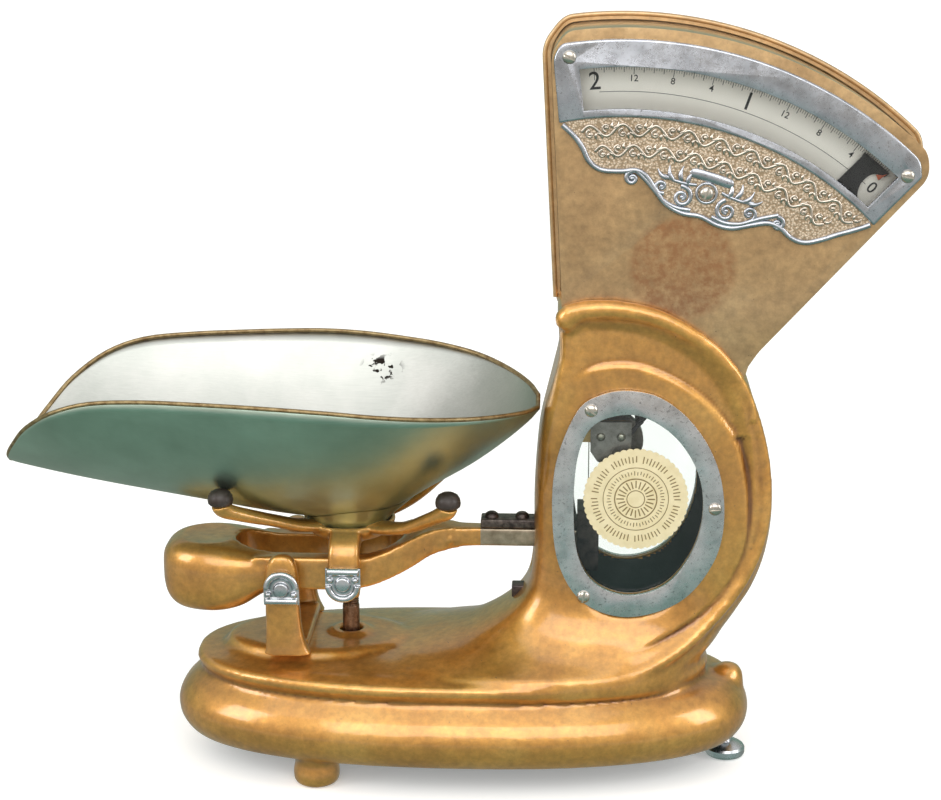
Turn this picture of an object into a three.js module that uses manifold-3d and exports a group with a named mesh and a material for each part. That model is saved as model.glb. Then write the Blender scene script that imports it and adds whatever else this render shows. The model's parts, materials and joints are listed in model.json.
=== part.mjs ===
// A fan-dial counter scale: a load on the scoop tips a lever, which draws down a pendulum and its pointer.
// Millimetres, +Z up, -Y to the front. The origin is under the middle of the whole scale, on the counter.
import * as THREE from "three";
import { mergeVertices } from "three/addons/utils/BufferGeometryUtils.js";
import Module from "manifold-3d";

const wasm = await Module();
wasm.setup();

// ---- Driving dimensions -----------------------------------------------------------------------------
const GAP = 0.3; // between pieces that touch
const BASE = { x: 3, halfLength: 177, halfWidth: 79, power: 2.3 };
const DECK = { x: -3.5, halfLength: 158.5, halfWidth: 70, z: 69, crown: 7 };
const PLINTH = { x: -86, halfLength: 57, halfWidth: 37, top: 78 }; // pad that carries the fulcrum stand
const FOOT = { x: -83, y: 50, r: 13 };
const LEVEL_X = 167; // levelling screw at the base's right end
const DAMPER_Z = 107; // damper screw at the column's left root

const FULCRUM_X = -103;
const LOAD_X = -66;
const KNIFE_Z = 124; // both knife edges lie at one height
const FULCRUM_CAP_Z = 121; // the fulcrum caps sit a little below their knife edge
const KNIFE_R = 2.4;
const ARM_IN = 17; // the lever's two arms, measured from the middle plane
const ARM_OUT = 28.5;
const POST_IN = 31; // posts and load legs stand outside the arms
const POST_OUT = 42;
const CAP_T = 5;

const PIVOT = { x: 96, z: 204 }; // pendulum shaft, and the centre of every dial arc
const SHAFT_R = 3;
const CAM_R = 16;
const RIBBON_X = PIVOT.x - CAM_R; // the draw ribbon hangs down the cam's left side
const PENDULUM_TILT = 15; // degrees from hanging straight down, at no load
const ROD_LENGTH = 40;
const BOB_R = 17;
const ZERO_ANGLE = 41; // dial angles are degrees from straight up, positive to the right
const NEEDLE_Y = 20.5; // from the middle plane to a needle

const HEAD_HALF = 30; // dial housing, half its depth
const HEAD_R = 247; // dial housing's top arc
const BACK_FLANGE_R = 251;
const WINDOW = { rIn: 202, rOut: 225.5, from: -6.5, to: 43.2 };
const BEZEL_R = 241;
const COLUMN_HALF = 34; // column, half its depth at the round window
const COLUMN_WALL = 5;
const RING_SEAT = COLUMN_HALF + 0.2; // faces that the window's plated rings lie on
const RING_T = 3;
const SEAL = { x: 107, z: 177, r: 31, points: 36 };
const DASHPOT = { x: RIBBON_X, r: 15, floor: 38, top: 98, wall: 1.7, bottom: 3 };
const LINK = { low: 123.5, high: 162, wall: 4.6 }; // the stirrup that the lever's nose pulls down
const PIN_HOLE = 2.2;

const NOSE_END = 85;
const NOSE_TOP = 148;
const NOSE_UNDER = 136.8;
const NOSE_SCREWS = [21, 39.5];
const STRAP_Z = NOSE_TOP + GAP;
const STRAP_T = 5.5;

const HUB_TOP = 153.5;
const HUB_FLOOR = 149;
const ARM_TIP = { x: 66.5, y: 56.5, z: 177 };
const ARMS_SHIFT = -3; // the arms' middle, from the load knife edge
const CHECK_Z = 46; // the check link's pivots, inside the base

// ---- Solids -----------------------------------------------------------------------------------------
const { sin, cos, PI, abs, sign, hypot } = Math;
const rad = (degrees) => (degrees * PI) / 180;
const v3 = (x, y, z) => new THREE.Vector3(x, y, z);

/** A closed three.js geometry as a manifold solid. */
function solid(geometry) {
  const bare = geometry.index ? geometry.toNonIndexed() : geometry.clone();
  for (const name of Object.keys(bare.attributes)) {
    if (name !== "position") bare.deleteAttribute(name);
  }
  const merged = mergeVertices(bare, 1e-4);
  const vertProperties = merged.attributes.position.array;
  const triVerts = new Uint32Array(merged.index.array);
  return new wasm.Manifold(new wasm.Mesh({ numProp: 3, vertProperties, triVerts }));
}

const join = (first, ...rest) => rest.reduce((a, b) => a.add(b), first);
const cut = (first, ...rest) => rest.reduce((a, b) => a.subtract(b), first);

function box(x0, x1, y0, y1, z0, z1) {
  const g = new THREE.BoxGeometry(x1 - x0, y1 - y0, z1 - z0);
  return solid(g.translate((x0 + x1) / 2, (y0 + y1) / 2, (z0 + z1) / 2));
}

/** A round bar along an axis ("x", "y" or "z"), centred at u, v on the other two coordinates. */
function bar(axis, from, to, u, v, r, { r2 = r, sides = 16 } = {}) {
  const g = new THREE.CylinderGeometry(r2, r, to - from, sides);
  const mid = (from + to) / 2;
  if (axis === "x") return solid(g.rotateZ(-PI / 2).translate(mid, u, v));
  if (axis === "y") return solid(g.translate(u, mid, v));
  return solid(g.rotateX(PI / 2).translate(u, v, mid));
}

/** An outline in the X-Z plane, pushed through from y0 to y1. */
function slab(outline, y0, y1) {
  const shape = new THREE.Shape(outline.map(([x, z]) => new THREE.Vector2(x, z)));
  const g = new THREE.ExtrudeGeometry(shape, { depth: y1 - y0, bevelEnabled: false, steps: 1 });
  return solid(g.rotateX(PI / 2).translate(0, y1, 0));
}

/** An outline in the X-Y plane, raised from z0 to z1. */
function plate(outline, z0, z1) {
  const shape = new THREE.Shape(outline.map(([x, y]) => new THREE.Vector2(x, y)));
  const g = new THREE.ExtrudeGeometry(shape, { depth: z1 - z0, bevelEnabled: false, steps: 1 });
  return solid(g.translate(0, 0, z0));
}

/** A profile of [radius, z] turned about the Z axis at x, y. */
function turned(profile, x = 0, y = 0, sides = 24) {
  const g = new THREE.LatheGeometry(profile.map(([r, z]) => new THREE.Vector2(r, z)), sides);
  return solid(g.rotateX(PI / 2).translate(x, y, 0));
}

/** A round bar bent along a smooth line through the points. */
function bent(points, r, steps, sides = 8) {
  const circle = new THREE.Shape();
  for (let i = 0; i < sides; i++) {
    const a = (i / sides) * 2 * PI;
    if (i === 0) circle.moveTo(r, 0);
    else circle.lineTo(r * cos(a), r * sin(a));
  }
  const extrudePath = new THREE.CatmullRomCurve3(points);
  return solid(new THREE.ExtrudeGeometry(circle, { steps, bevelEnabled: false, extrudePath }));
}

/** Rings of points, lowest first, joined by a skin and closed flat at both ends. */
function loft(rings) {
  const n = rings[0].length;
  const position = [];
  const face = (...points) => points.forEach((p) => position.push(p.x, p.y, p.z));
  const middle = (ring) => ring.reduce((s, p) => s.add(p), v3(0, 0, 0)).divideScalar(n);
  for (let k = 0; k + 1 < rings.length; k++) {
    for (let i = 0; i < n; i++) {
      const j = (i + 1) % n;
      face(rings[k][i], rings[k][j], rings[k + 1][j]);
      face(rings[k][i], rings[k + 1][j], rings[k + 1][i]);
    }
  }
  const low = middle(rings[0]);
  const high = middle(rings.at(-1));
  for (let i = 0; i < n; i++) {
    const j = (i + 1) % n;
    face(low, rings[0][j], rings[0][i]);
    face(high, rings.at(-1)[i], rings.at(-1)[j]);
  }
  const g = new THREE.BufferGeometry();
  return solid(g.setAttribute("position", new THREE.Float32BufferAttribute(position, 3)));
}

/** A level superellipse ring: half-axes a along X and b along Y. */
function oval(x, a, b, z, power, count) {
  const part = (t) => sign(t) * abs(t) ** (2 / power);
  const at = (i) => (i / count) * 2 * PI;
  return Array.from({ length: count }, (_, i) => v3(x + a * part(cos(at(i))), b * part(sin(at(i))), z));
}

/** A smooth closed outline through a few clockwise points, grown outwards by `grow`. */
function smooth(points, grow = 0, count = 28) {
  const curve = new THREE.CatmullRomCurve3(points.map(([x, z]) => v3(x, z, 0)), true);
  return Array.from({ length: count }, (_, i) => {
    const p = curve.getPoint(i / count);
    const t = curve.getTangent(i / count);
    return [p.x - t.y * grow, p.y + t.x * grow];
  });
}

const polar = (r, degrees) => [PIVOT.x + r * sin(rad(degrees)), PIVOT.z + r * cos(rad(degrees))];

function arc(r, from, to, steps = 12) {
  return Array.from({ length: steps + 1 }, (_, i) => polar(r, from + ((to - from) * i) / steps));
}

// ---- Assembly ---------------------------------------------------------------------------------------
const scale = new THREE.Group();

function finish(color, roughness, metalness) {
  return new THREE.MeshStandardMaterial({ color, roughness, metalness });
}

const GOLD = finish(0xb98a3a, 0.38, 0.85);
const NICKEL = finish(0xaab0b8, 0.3, 1);
const STEEL = finish(0x5a554f, 0.5, 0.9);
const BLACKENED = finish(0x1c2327, 0.45, 0.6);
const BRASS = finish(0xb08a4a, 0.4, 1);
const SHEET = finish(0xb9b7a8, 0.32, 1);
const CARD = finish(0xe9e6df, 0.8, 0);
const FOIL = finish(0xd9b765, 0.4, 0.7);
const RUBBER = finish(0x2a2523, 0.6, 0);
const GLASS = finish(0xe8f0f0, 0.05, 0);
GLASS.transparent = true;
GLASS.opacity = 0.2;

function add(name, material, made) {
  const { numProp, vertProperties, triVerts } = made.getMesh();
  const g = new THREE.BufferGeometry();
  g.setAttribute("position", new THREE.BufferAttribute(vertProperties.slice(), numProp));
  g.setIndex(new THREE.BufferAttribute(triVerts.slice(), 1));
  const mesh = new THREE.Mesh(g, material);
  mesh.name = name;
  scale.add(mesh);
}

// side is -1 at the front and +1 at the rear
const SIDES = [["front", -1], ["rear", 1]];
const span = (side, near, far) => (side < 0 ? [-far, -near] : [near, far]);

// ---- Window ring and screws -------------------------------------------------------------------------
const RING_OUTER = [
  [103, 243.5], [122, 238.5], [141, 222], [155, 196], [159, 165], [153, 138], [134, 114],
  [104, 104], [78, 112], [63, 134], [58, 165], [60, 200], [72, 231], [86, 241],
];
const RING_INNER = [
  [98, 229], [114, 226.5], [131, 214], [143, 194], [146.5, 170], [141, 146], [126, 125],
  [104, 117.5], [84, 124.5], [73.5, 142], [70.5, 170], [72.5, 203], [81, 222],
];
const RING_SCREWS = { top: [80, 231.5], side: [153.5, 172.5], bottom: [77, 116.5] };
const SCREW_HOLE = 2.3;
const SCREW_R = 2;

/** A round-headed slotted screw along Y, its head outside the face at y. */
function screw(x, z, y, side, { head = 3.9, tall = 2, long = 7 } = {}) {
  const [h0, h1] = span(side, y, y + tall);
  const [s0, s1] = span(side, y - long, y);
  const dome = side < 0 ? { r2: head } : { r2: head * 0.65 };
  const made = bar("y", h0, h1, x, z, side < 0 ? head * 0.65 : head, { ...dome, sides: 14 });
  const [t0, t1] = span(side, y + tall - 0.8, y + tall + 1);
  const slot = box(x - 0.5, x + 0.5, t0, t1, z - 5, z + 5);
  return join(cut(made, slot), bar("y", s0, s1, x, z, SCREW_R, { sides: 10 }));
}

const screwHole = ([x, z], from, to) => bar("y", from, to, x, z, SCREW_HOLE, { sides: 10 });

// ---- Dial housing outlines --------------------------------------------------------------------------
/** The fan outline: a near-upright left side, the top arc about the pivot and a sloping right side. */
function fanOutline(inset, arcR = HEAD_R, bottom = 232) {
  const left = [[62 + inset, bottom], [62 + inset, 296], [54.5 + inset, 436 - inset * 0.3]];
  const corner = [268.5 - inset * 0.7, 368 + inset * 0.3];
  const slope = [corner, [176 - inset, 265.5 + inset * 0.2], [170.5 - inset, 257]];
  const foot = [[168 - inset, 248], [158 - inset, 240], [150 - inset, bottom]];
  return [...left, ...arc(arcR - inset, -7.7, 43.9, 18), ...slope, ...foot];
}

const windowOutline = (grow) => [
  ...arc(WINDOW.rOut + grow, WINDOW.from - grow * 0.25, WINDOW.to + grow * 0.25),
  ...arc(WINDOW.rIn - grow, WINDOW.to + grow * 0.3, WINDOW.from - grow * 0.3),
];

// ---- Stand: base casting ----------------------------------------------------------------------------
const COLUMN = [
  // z, left, right, half depth, superellipse power
  [60, -70, 150, 66, 2.3],
  [71, -62, 151, 65, 2.3],
  [75, -42, 154, 60, 2.3],
  [79, -20, 157, 54, 2.4],
  [84, 1, 160, 48.5, 2.6],
  [90, 15, 163, 43.5, 2.9],
  [98, 28, 168, 39, 3.3],
  [107, 38, 173, 36, 3.9],
  [118, 44, 179, 34.4, 4.4],
  [135, 46.5, 185, COLUMN_HALF, 4.8],
  [155, 47, 188.5, COLUMN_HALF, 5],
  [175, 47, 189, COLUMN_HALF, 5],
  [195, 48, 186.5, COLUMN_HALF, 5],
  [215, 50, 181.5, COLUMN_HALF, 5],
  [232, 54, 176, COLUMN_HALF, 5],
  [248, 58, 171.5, COLUMN_HALF, 5],
  [265, 61, 170, COLUMN_HALF, 5],
  [296, 59, 170, COLUMN_HALF, 5],
];

function columnLoft(wall, sections) {
  const ring = ([z, left, right, half, power]) =>
    oval((left + right) / 2, (right - left) / 2 - wall, half - wall, z, power, 20);
  return loft(sections.map(ring));
}

/** The inside of the column, `gap` clear of its wall. */
function columnRoom(gap = 0) {
  const lowest = [45, 40, 128, 34, 3];
  return columnLoft(COLUMN_WALL + gap, [lowest, ...COLUMN.slice(6), [310, 59, 170, COLUMN_HALF, 5]]);
}

function baseCasting() {
  const baseRing = (z, inset, count = 32) =>
    oval(BASE.x, BASE.halfLength - inset, BASE.halfWidth - inset, z, BASE.power, count);
  const moulding = [[18, 9], [22, 4.5], [28, 1], [36, 0], [43, 1.8], [49, 5.5], [54, 11], [57.5, 14]];
  const deckRing = (z, share, edge = 0) =>
    oval(DECK.x, DECK.halfLength * share - edge, DECK.halfWidth * share - edge, z, BASE.power, 32);
  const deckEdge = [[59.5, 3.5], [62, 1], [DECK.z - 3, 0], [DECK.z, 1.5], [DECK.z + 0.8, 4]];
  const dome = [0.75, 0.5, 0.25].map((share) => deckRing(DECK.z + DECK.crown * (1 - share ** 2), share));
  const edge = deckEdge.map(([z, inset]) => deckRing(z, 1, inset));
  const base = loft([...moulding.map(([z, inset]) => baseRing(z, inset)), ...edge, ...dome]);
  const hollow = [[5, 15], [24, 11], [35, 7], [45, 9], [53, 17], [60, 24]];
  const baseHollow = loft(hollow.map(([z, inset]) => baseRing(z, inset, 20)));

  const ringPad = slab(smooth(RING_OUTER, 2.5), -RING_SEAT, RING_SEAT);
  const plinthRing = (z, inset) =>
    oval(PLINTH.x, PLINTH.halfLength - inset, PLINTH.halfWidth - inset, z, 2, 32);
  const plinth = loft([plinthRing(DECK.z - 1, 0), plinthRing(PLINTH.top, 1)]);
  const collar = turned([[0, 66], [13, 66], [12.5, 79], [10, 81], [0, 81]], LOAD_X);
  const footShape = [[0, 0], [10, 0], [FOOT.r, 3], [FOOT.r, 9], [10.5, 15], [12, 26], [0, 26]];
  const feet = [-1, 1].map((side) => turned(footShape, FOOT.x, side * FOOT.y, 20));
  const levelBoss = turned([[0, 30], [10.5, 30], [10, 50], [8.5, 56], [5, 60], [0, 61]], LEVEL_X, 0, 20);
  const column = columnLoft(0, COLUMN);
  const outside = join(base, column, ringPad, plinth, collar, ...feet, levelBoss);

  // A shelf under the column carries the dashpot, and a boss takes the levelling screw.
  const shelf = box(60, 100, -70, 70, 33, 38).intersect(base);
  const levelTube = bar("z", 27, 58, LEVEL_X, 0, 8);
  const linkLug = box(FULCRUM_X - 5, FULCRUM_X + 5, -3, 3, 38, 64);
  const damperBoss = box(36, 52, -9, 9, DAMPER_Z - 8, DAMPER_Z + 8).intersect(column);
  const footCores = [-1, 1].map((side) => bar("z", 2, 30, FOOT.x, side * FOOT.y, 9.5, { sides: 14 }));
  let made = cut(outside, baseHollow, columnRoom());
  made = join(made, shelf, levelTube, linkLug, damperBoss, ...footCores);

  // The neck's top edge follows the roll that curls over the window; the dial housing drops in behind it.
  const neckLine = [
    [57, 290], [70, 293], [88, 292], [107, 287], [126, 275], [142, 260], [154, 246], [164, 247],
  ];
  const above = slab([[20, 290], ...neckLine, [200, 248], [200, 330], [20, 330]], -60, 60);
  const pocket = slab(fanOutline(-GAP, HEAD_R, 231), -HEAD_HALF - GAP, HEAD_HALF + GAP);
  const noseSlot = box(30, 66, -8.5, 8.5, 121, 159);
  const rodHole = bar("z", 50, 90, LOAD_X, 0, 7);
  const levelHole = bar("z", 10, 55, LEVEL_X, 0, 4.3);
  const linkPinHole = bar("y", -5, 5, FULCRUM_X, CHECK_Z, PIN_HOLE, { sides: 12 });
  const damperHole = bar("x", 10, 64, 0, DAMPER_Z, 3.3, { sides: 12 });
  const damperSeat = box(15, 42.3, -5.4, 5.4, DAMPER_Z - 5.4, DAMPER_Z + 5.4);
  const opening = slab(smooth(RING_INNER), -50, 50);
  const rebates = SIDES.flatMap(([, side]) => [
    slab(smooth(RING_INNER, 4), ...span(side, COLUMN_HALF - 2.6, COLUMN_HALF + 5)),
    slab(smooth(RING_OUTER, 3), ...span(side, RING_SEAT, COLUMN_HALF + 30)),
  ]);
  const ends = [-COLUMN_HALF - 2, COLUMN_HALF + 2];
  const screwHoles = Object.values(RING_SCREWS).map((at) => screwHole(at, ...ends));
  const standHoles = [-1, 1].map((side) => bar("z", 60, 82, FULCRUM_X, side * 36, 2.6, { sides: 12 }));
  const holes = [noseSlot, rodHole, levelHole, linkPinHole, damperHole, damperSeat, opening];
  return cut(made, above, pocket, ...holes, ...rebates, ...screwHoles, ...standHoles);
}

add("base_casting", GOLD, baseCasting());

function fulcrumStand() {
  const half = 10.5;
  const post = (side) => {
    const low = PLINTH.top;
    const left = [[-half - 4, low], [-half, low + 1], [-half, KNIFE_Z], [-half + 3, KNIFE_Z + 10]];
    const both = [...left, ...left.map(([x, z]) => [-x, z]).reverse()];
    const upright = slab(both.map(([x, z]) => [FULCRUM_X + x, z]), ...span(side, POST_IN, POST_OUT));
    const seat = bar("y", -POST_OUT - 1, POST_OUT + 1, FULCRUM_X, KNIFE_Z, 6);
    return cut(upright, seat);
  };
  const reach = POST_IN + 1;
  const bridge = box(FULCRUM_X - 12, FULCRUM_X + 12, -reach, reach, PLINTH.top, PLINTH.top + 6);
  const stud = (side) => bar("z", 62, PLINTH.top + 1, FULCRUM_X, side * 36, 2.2, { sides: 12 });
  return join(bridge, post(-1), post(1), stud(-1), stud(1));
}

add("fulcrum_stand", GOLD, fulcrumStand());

/** A steel bush that seats a knife edge, in a post or a load leg. */
function knifeBearing(x, side) {
  const [y0, y1] = span(side, POST_IN + 0.5, POST_OUT);
  const bush = bar("y", y0, y1, x, KNIFE_Z, 6 - GAP);
  return cut(bush, bar("y", y0 - 1, y1 + 1, x, KNIFE_Z, KNIFE_R + 0.5));
}

/** A plated cap over a bearing: an arch on the fulcrum posts, the same turned over on the load legs. */
function bearingCap(x, z, side, up) {
  const r = 10.4;
  const turns = Array.from({ length: 13 }, (_, i) => (i / 12) * PI);
  const round = turns.map((a) => [x + r * cos(a), z + up * r * sin(a)]);
  const outline = [...round, [x - r, z - up * r], [x + r, z - up * r]];
  const [y0, y1] = span(side, POST_OUT + GAP, POST_OUT + GAP + CAP_T);
  return slab(outline, y0, y1);
}

for (const [name, side] of SIDES) {
  add("fulcrum_bearing_" + name, STEEL, knifeBearing(FULCRUM_X, side));
  add("fulcrum_cap_" + name, NICKEL, bearingCap(FULCRUM_X, FULCRUM_CAP_Z, side, 1));
}

// ---- Stand: dial housing ----------------------------------------------------------------------------
const HOUSING_BACK = 25.5; // the housing's rim, where the back cover closes it
const BEZEL_SCREWS = { left: polar(233, -7.7), right: polar(229.8, 44), centre: polar(161.7, 17) };
const REAR_BEZEL_MARGIN = 9;

function dialHousing() {
  const outer = slab(fanOutline(0), -HEAD_HALF, HOUSING_BACK);
  const inside = slab(fanOutline(3, HEAD_R, 225), -HEAD_HALF + 3, HOUSING_BACK + 1);
  const pane = slab(windowOutline(2), -HEAD_HALF - 1, -HEAD_HALF + 4);
  const holes = Object.values(BEZEL_SCREWS).map((at) => screwHole(at, -HEAD_HALF - 1, -HEAD_HALF + 4));
  return cut(outer, inside, pane, ...holes);
}

add("dial_housing", GOLD, dialHousing());

function backCover() {
  const lid = slab(fanOutline(-0.2, BACK_FLANGE_R - 4), HOUSING_BACK + GAP, HOUSING_BACK + 3.5);
  const wide = slab(fanOutline(-4, BACK_FLANGE_R - 4), 18, HOUSING_BACK + 3.5);
  const bore = slab(fanOutline(-0.8, HEAD_R), 10, HOUSING_BACK + GAP);
  const neck = box(30, 200, 0, 40, 200, 300);
  const slopeFoot = box(160, 215, 0, 40, 200, 305);
  const flange = cut(wide, bore, neck, slopeFoot);
  return cut(join(lid, flange), slab(windowOutline(2), 10, 40));
}

add("dial_back_cover", GOLD, backCover());

/** The lower edge of the bezel's ornament plate, as radii either side of its middle line. */
function plateEdge() {
  const middle = 17.5;
  const half = [
    [1.5, 147], [5, 145.5], [8.5, 151], [11, 158.5], [14.5, 160],
    [17, 165], [20.5, 166.5], [24, 174], [27, 190],
  ];
  const right = half.map(([degrees, r]) => polar(r, middle + degrees));
  const left = half.map(([degrees, r]) => polar(r, middle - degrees)).reverse();
  return [...left, ...right];
}

function dialBezel() {
  const sideLeft = [polar(198, -10.6), polar(233, -9.9)];
  const top = arc(BEZEL_R, -8.4, 42.4, 18);
  const sideRight = [polar(234, 45.7), polar(200, 46)];
  const outline = [...sideLeft, ...top, ...sideRight, ...plateEdge().reverse()];
  const body = slab(outline, -HEAD_HALF - 3.3, -HEAD_HALF);
  const holes = Object.values(BEZEL_SCREWS).map((at) => screwHole(at, -HEAD_HALF - 5, -HEAD_HALF + 1));
  return cut(body, slab(windowOutline(0), -HEAD_HALF - 5, -HEAD_HALF + 1), ...holes);
}

add("dial_bezel", NICKEL, dialBezel());
for (const [name, [x, z]] of Object.entries(BEZEL_SCREWS)) {
  add("dial_bezel_screw_" + name, NICKEL, screw(x, z, HEAD_HALF + 3.3, -1, { long: 6 }));
}

const frame = slab(windowOutline(REAR_BEZEL_MARGIN), HOUSING_BACK + 3.8, HOUSING_BACK + 6.3);
add("rear_dial_bezel", NICKEL, cut(frame, slab(windowOutline(0), 10, 40)));
add("dial_glass_front", GLASS, slab(windowOutline(5), -HEAD_HALF + 3 + GAP, -HEAD_HALF + 5));
add("dial_glass_rear", GLASS, slab(windowOutline(5), HOUSING_BACK - 1.7, HOUSING_BACK));

/** A printed card across the housing, just inside its walls. */
function chartOutline() {
  const top = arc(HEAD_R - 3.5, -6.6, 43);
  const bottom = arc(192, 46.4, -9.4);
  return [...top, polar(240, 44.5), ...bottom, polar(233, -8.6)];
}

add("dial_chart_front", CARD, slab(chartOutline(), -18, -16.5));
add("dial_chart_rear", CARD, slab(chartOutline(), 16.5, 18));

// ---- Stand: round window, seal and damper -----------------------------------------------------------
for (const [name, side] of SIDES) {
  const [y0, y1] = span(side, RING_SEAT + GAP, RING_SEAT + GAP + RING_T);
  const holes = Object.values(RING_SCREWS).map((at) => screwHole(at, y0 - 1, y1 + 1));
  const band = cut(slab(smooth(RING_OUTER), y0, y1), slab(smooth(RING_INNER), y0 - 1, y1 + 1));
  add("window_ring_" + name, NICKEL, cut(band, ...holes));
  const [g0, g1] = span(side, COLUMN_HALF - 2.3, COLUMN_HALF - 0.3);
  add("window_glass_" + name, GLASS, slab(smooth(RING_INNER, 3.6), g0, g1));
}
for (const [where, [x, z]] of Object.entries(RING_SCREWS)) {
  for (const [name, side] of SIDES) {
    add(`ring_screw_${name}_${where}`, NICKEL, screw(x, z, RING_SEAT + GAP + RING_T, side));
  }
}

/** A scalloped foil disc stuck to the front glass. */
function sealDisc() {
  const edge = Array.from({ length: SEAL.points * 2 }, (_, i) => {
    const a = (i / SEAL.points) * PI;
    const r = i % 2 ? SEAL.r : SEAL.r - 1.2;
    return [SEAL.x + r * cos(a), SEAL.z + r * sin(a)];
  });
  return slab(edge, -COLUMN_HALF - 0.2, -COLUMN_HALF + 0.3);
}

add("inspection_seal", FOIL, sealDisc());

function dashpotCylinder() {
  const { r, floor, top, wall, bottom } = DASHPOT;
  const inside = [[r - wall, top], [r - wall, floor + bottom], [0, floor + bottom]];
  return turned([[0, floor], [r, floor], [r, top], ...inside], DASHPOT.x);
}

add("dashpot_cylinder", BRASS, dashpotCylinder());

/** A square-headed screw through the column's left root, beside the dashpot. */
function damperScrew() {
  const head = box(33.5, 42, -5, 5, DAMPER_Z - 5, DAMPER_Z + 5);
  return join(head, bar("x", 41, 62, 0, DAMPER_Z, 3, { sides: 12 }));
}

add("damper_screw", BLACKENED, damperScrew());

// ---- Stand: pendulum bracket ------------------------------------------------------------------------
const BRACKET_ARM = [22.6, 25.6];
const PLATE_SCREWS = [[86, 213], [98, 213]];

function pendulumBracket() {
  const root = box(48, 66, -24, 24, 199, 226);
  const arms = SIDES.map(([, side]) => box(55, 103, ...span(side, ...BRACKET_ARM), 209, 222));
  const holes = PLATE_SCREWS.map((at) => bar("y", -30, 30, at[0], at[1], 1.8, { sides: 10 }));
  return cut(join(root, ...arms).intersect(columnRoom(GAP)), ...holes);
}

add("pendulum_bracket", BRASS, pendulumBracket());
for (const [name, side] of SIDES) {
  const [y0, y1] = span(side, BRACKET_ARM[1] + GAP, BRACKET_ARM[1] + GAP + 2.2);
  const lower = [[80, 222], [80, 204], [84, 198], [92, 194.5], [104, 194.5], [104, 222]];
  const hole = bar("y", y0 - 1, y1 + 1, PIVOT.x, PIVOT.z, SHAFT_R + 0.25, { sides: 24 });
  const rivets = PLATE_SCREWS.map(([x, z]) => bar("y", y0 - 1, y1 + 1, x, z, 1.8, { sides: 10 }));
  add("bearing_plate_" + name, STEEL, cut(slab(lower, y0, y1), hole, ...rivets));
}

// ---- Lever ------------------------------------------------------------------------------------------
/** A closed outline from its rear half, mirrored over the middle plane. */
function mirrored(half) {
  const other = half.filter(([, y]) => y > 0).map(([x, y]) => [x, -y]);
  return [...half, ...other.reverse()];
}

function mainLever() {
  const outer = [
    [-180, 0], [-177, 15], [-166, 27], [-147, 33], [-126, 31], [-112, ARM_OUT],
    [-50, ARM_OUT], [-36, 26.5], [-22, 19], [-8, 9], [4, 6], [NOSE_END, 6],
  ];
  const inner = [
    [-136, 0], [-134, 9], [-127, 15], [-116, ARM_IN], [-50, ARM_IN], [-38, 13], [-30, 5], [-28.5, 0],
  ];
  const plan = cut(plate(mirrored(outer), 90, 170), plate(mirrored(inner), 80, 180));
  const top = [
    [-180.5, 120], [-178, 131], [-169, 139], [-155, 143], [-138, 143], [-124, 139], [-112, 136],
    [-60, 136], [-50, 137.5], [-38, 141.5], [-26, 145], [-12, 147.3], [5, NOSE_TOP], [NOSE_END + 1, NOSE_TOP],
  ];
  const under = [
    [NOSE_END + 1, NOSE_UNDER], [46, NOSE_UNDER], [12, 136.3], [-6, 134], [-20, 131], [-36, 126],
    [-50, 120], [-62, 117.5], [-112, 117.5], [-126, 108], [-140, 102.5], [-160, 101.5], [-173, 105.5],
  ];
  const profile = slab([...top, ...under], -50, 50);
  const knifeHoles = [FULCRUM_X, LOAD_X].map((x) => bar("y", -60, 60, x, KNIFE_Z, KNIFE_R + 0.2));
  const strapHoles = NOSE_SCREWS.map((x) => bar("z", 140, 165, x, 0, 2.2, { sides: 10 }));
  return cut(plan.intersect(profile), ...knifeHoles, ...strapHoles);
}

add("main_lever", GOLD, mainLever());
for (const [name, side] of SIDES) {
  for (const [what, x] of [["fulcrum", FULCRUM_X], ["load", LOAD_X]]) {
    const [y0, y1] = span(side, ARM_IN + 0.5, POST_OUT - 0.5);
    add(what + "_knife_" + name, STEEL, bar("y", y0, y1, x, KNIFE_Z, KNIFE_R, { sides: 12 }));
  }
}

function noseStrap() {
  const holes = NOSE_SCREWS.map((x) => bar("z", STRAP_Z - 5, STRAP_Z + 10, x, 0, 2.2, { sides: 10 }));
  return cut(box(15, NOSE_END, -7, 7, STRAP_Z, STRAP_Z + STRAP_T), ...holes);
}

add("nose_strap", BLACKENED, noseStrap());
NOSE_SCREWS.forEach((x, i) => {
  const top = STRAP_Z + STRAP_T;
  add("nose_screw_" + (i + 1), STEEL, join(
    turned([[0, top], [4, top], [3.7, top + 1.5], [2.2, top + 2.7], [0, top + 3]], x, 0, 16),
    bar("z", NOSE_TOP - 6, top + 0.5, x, 0, 1.9, { sides: 10 }),
  ));
});

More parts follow.
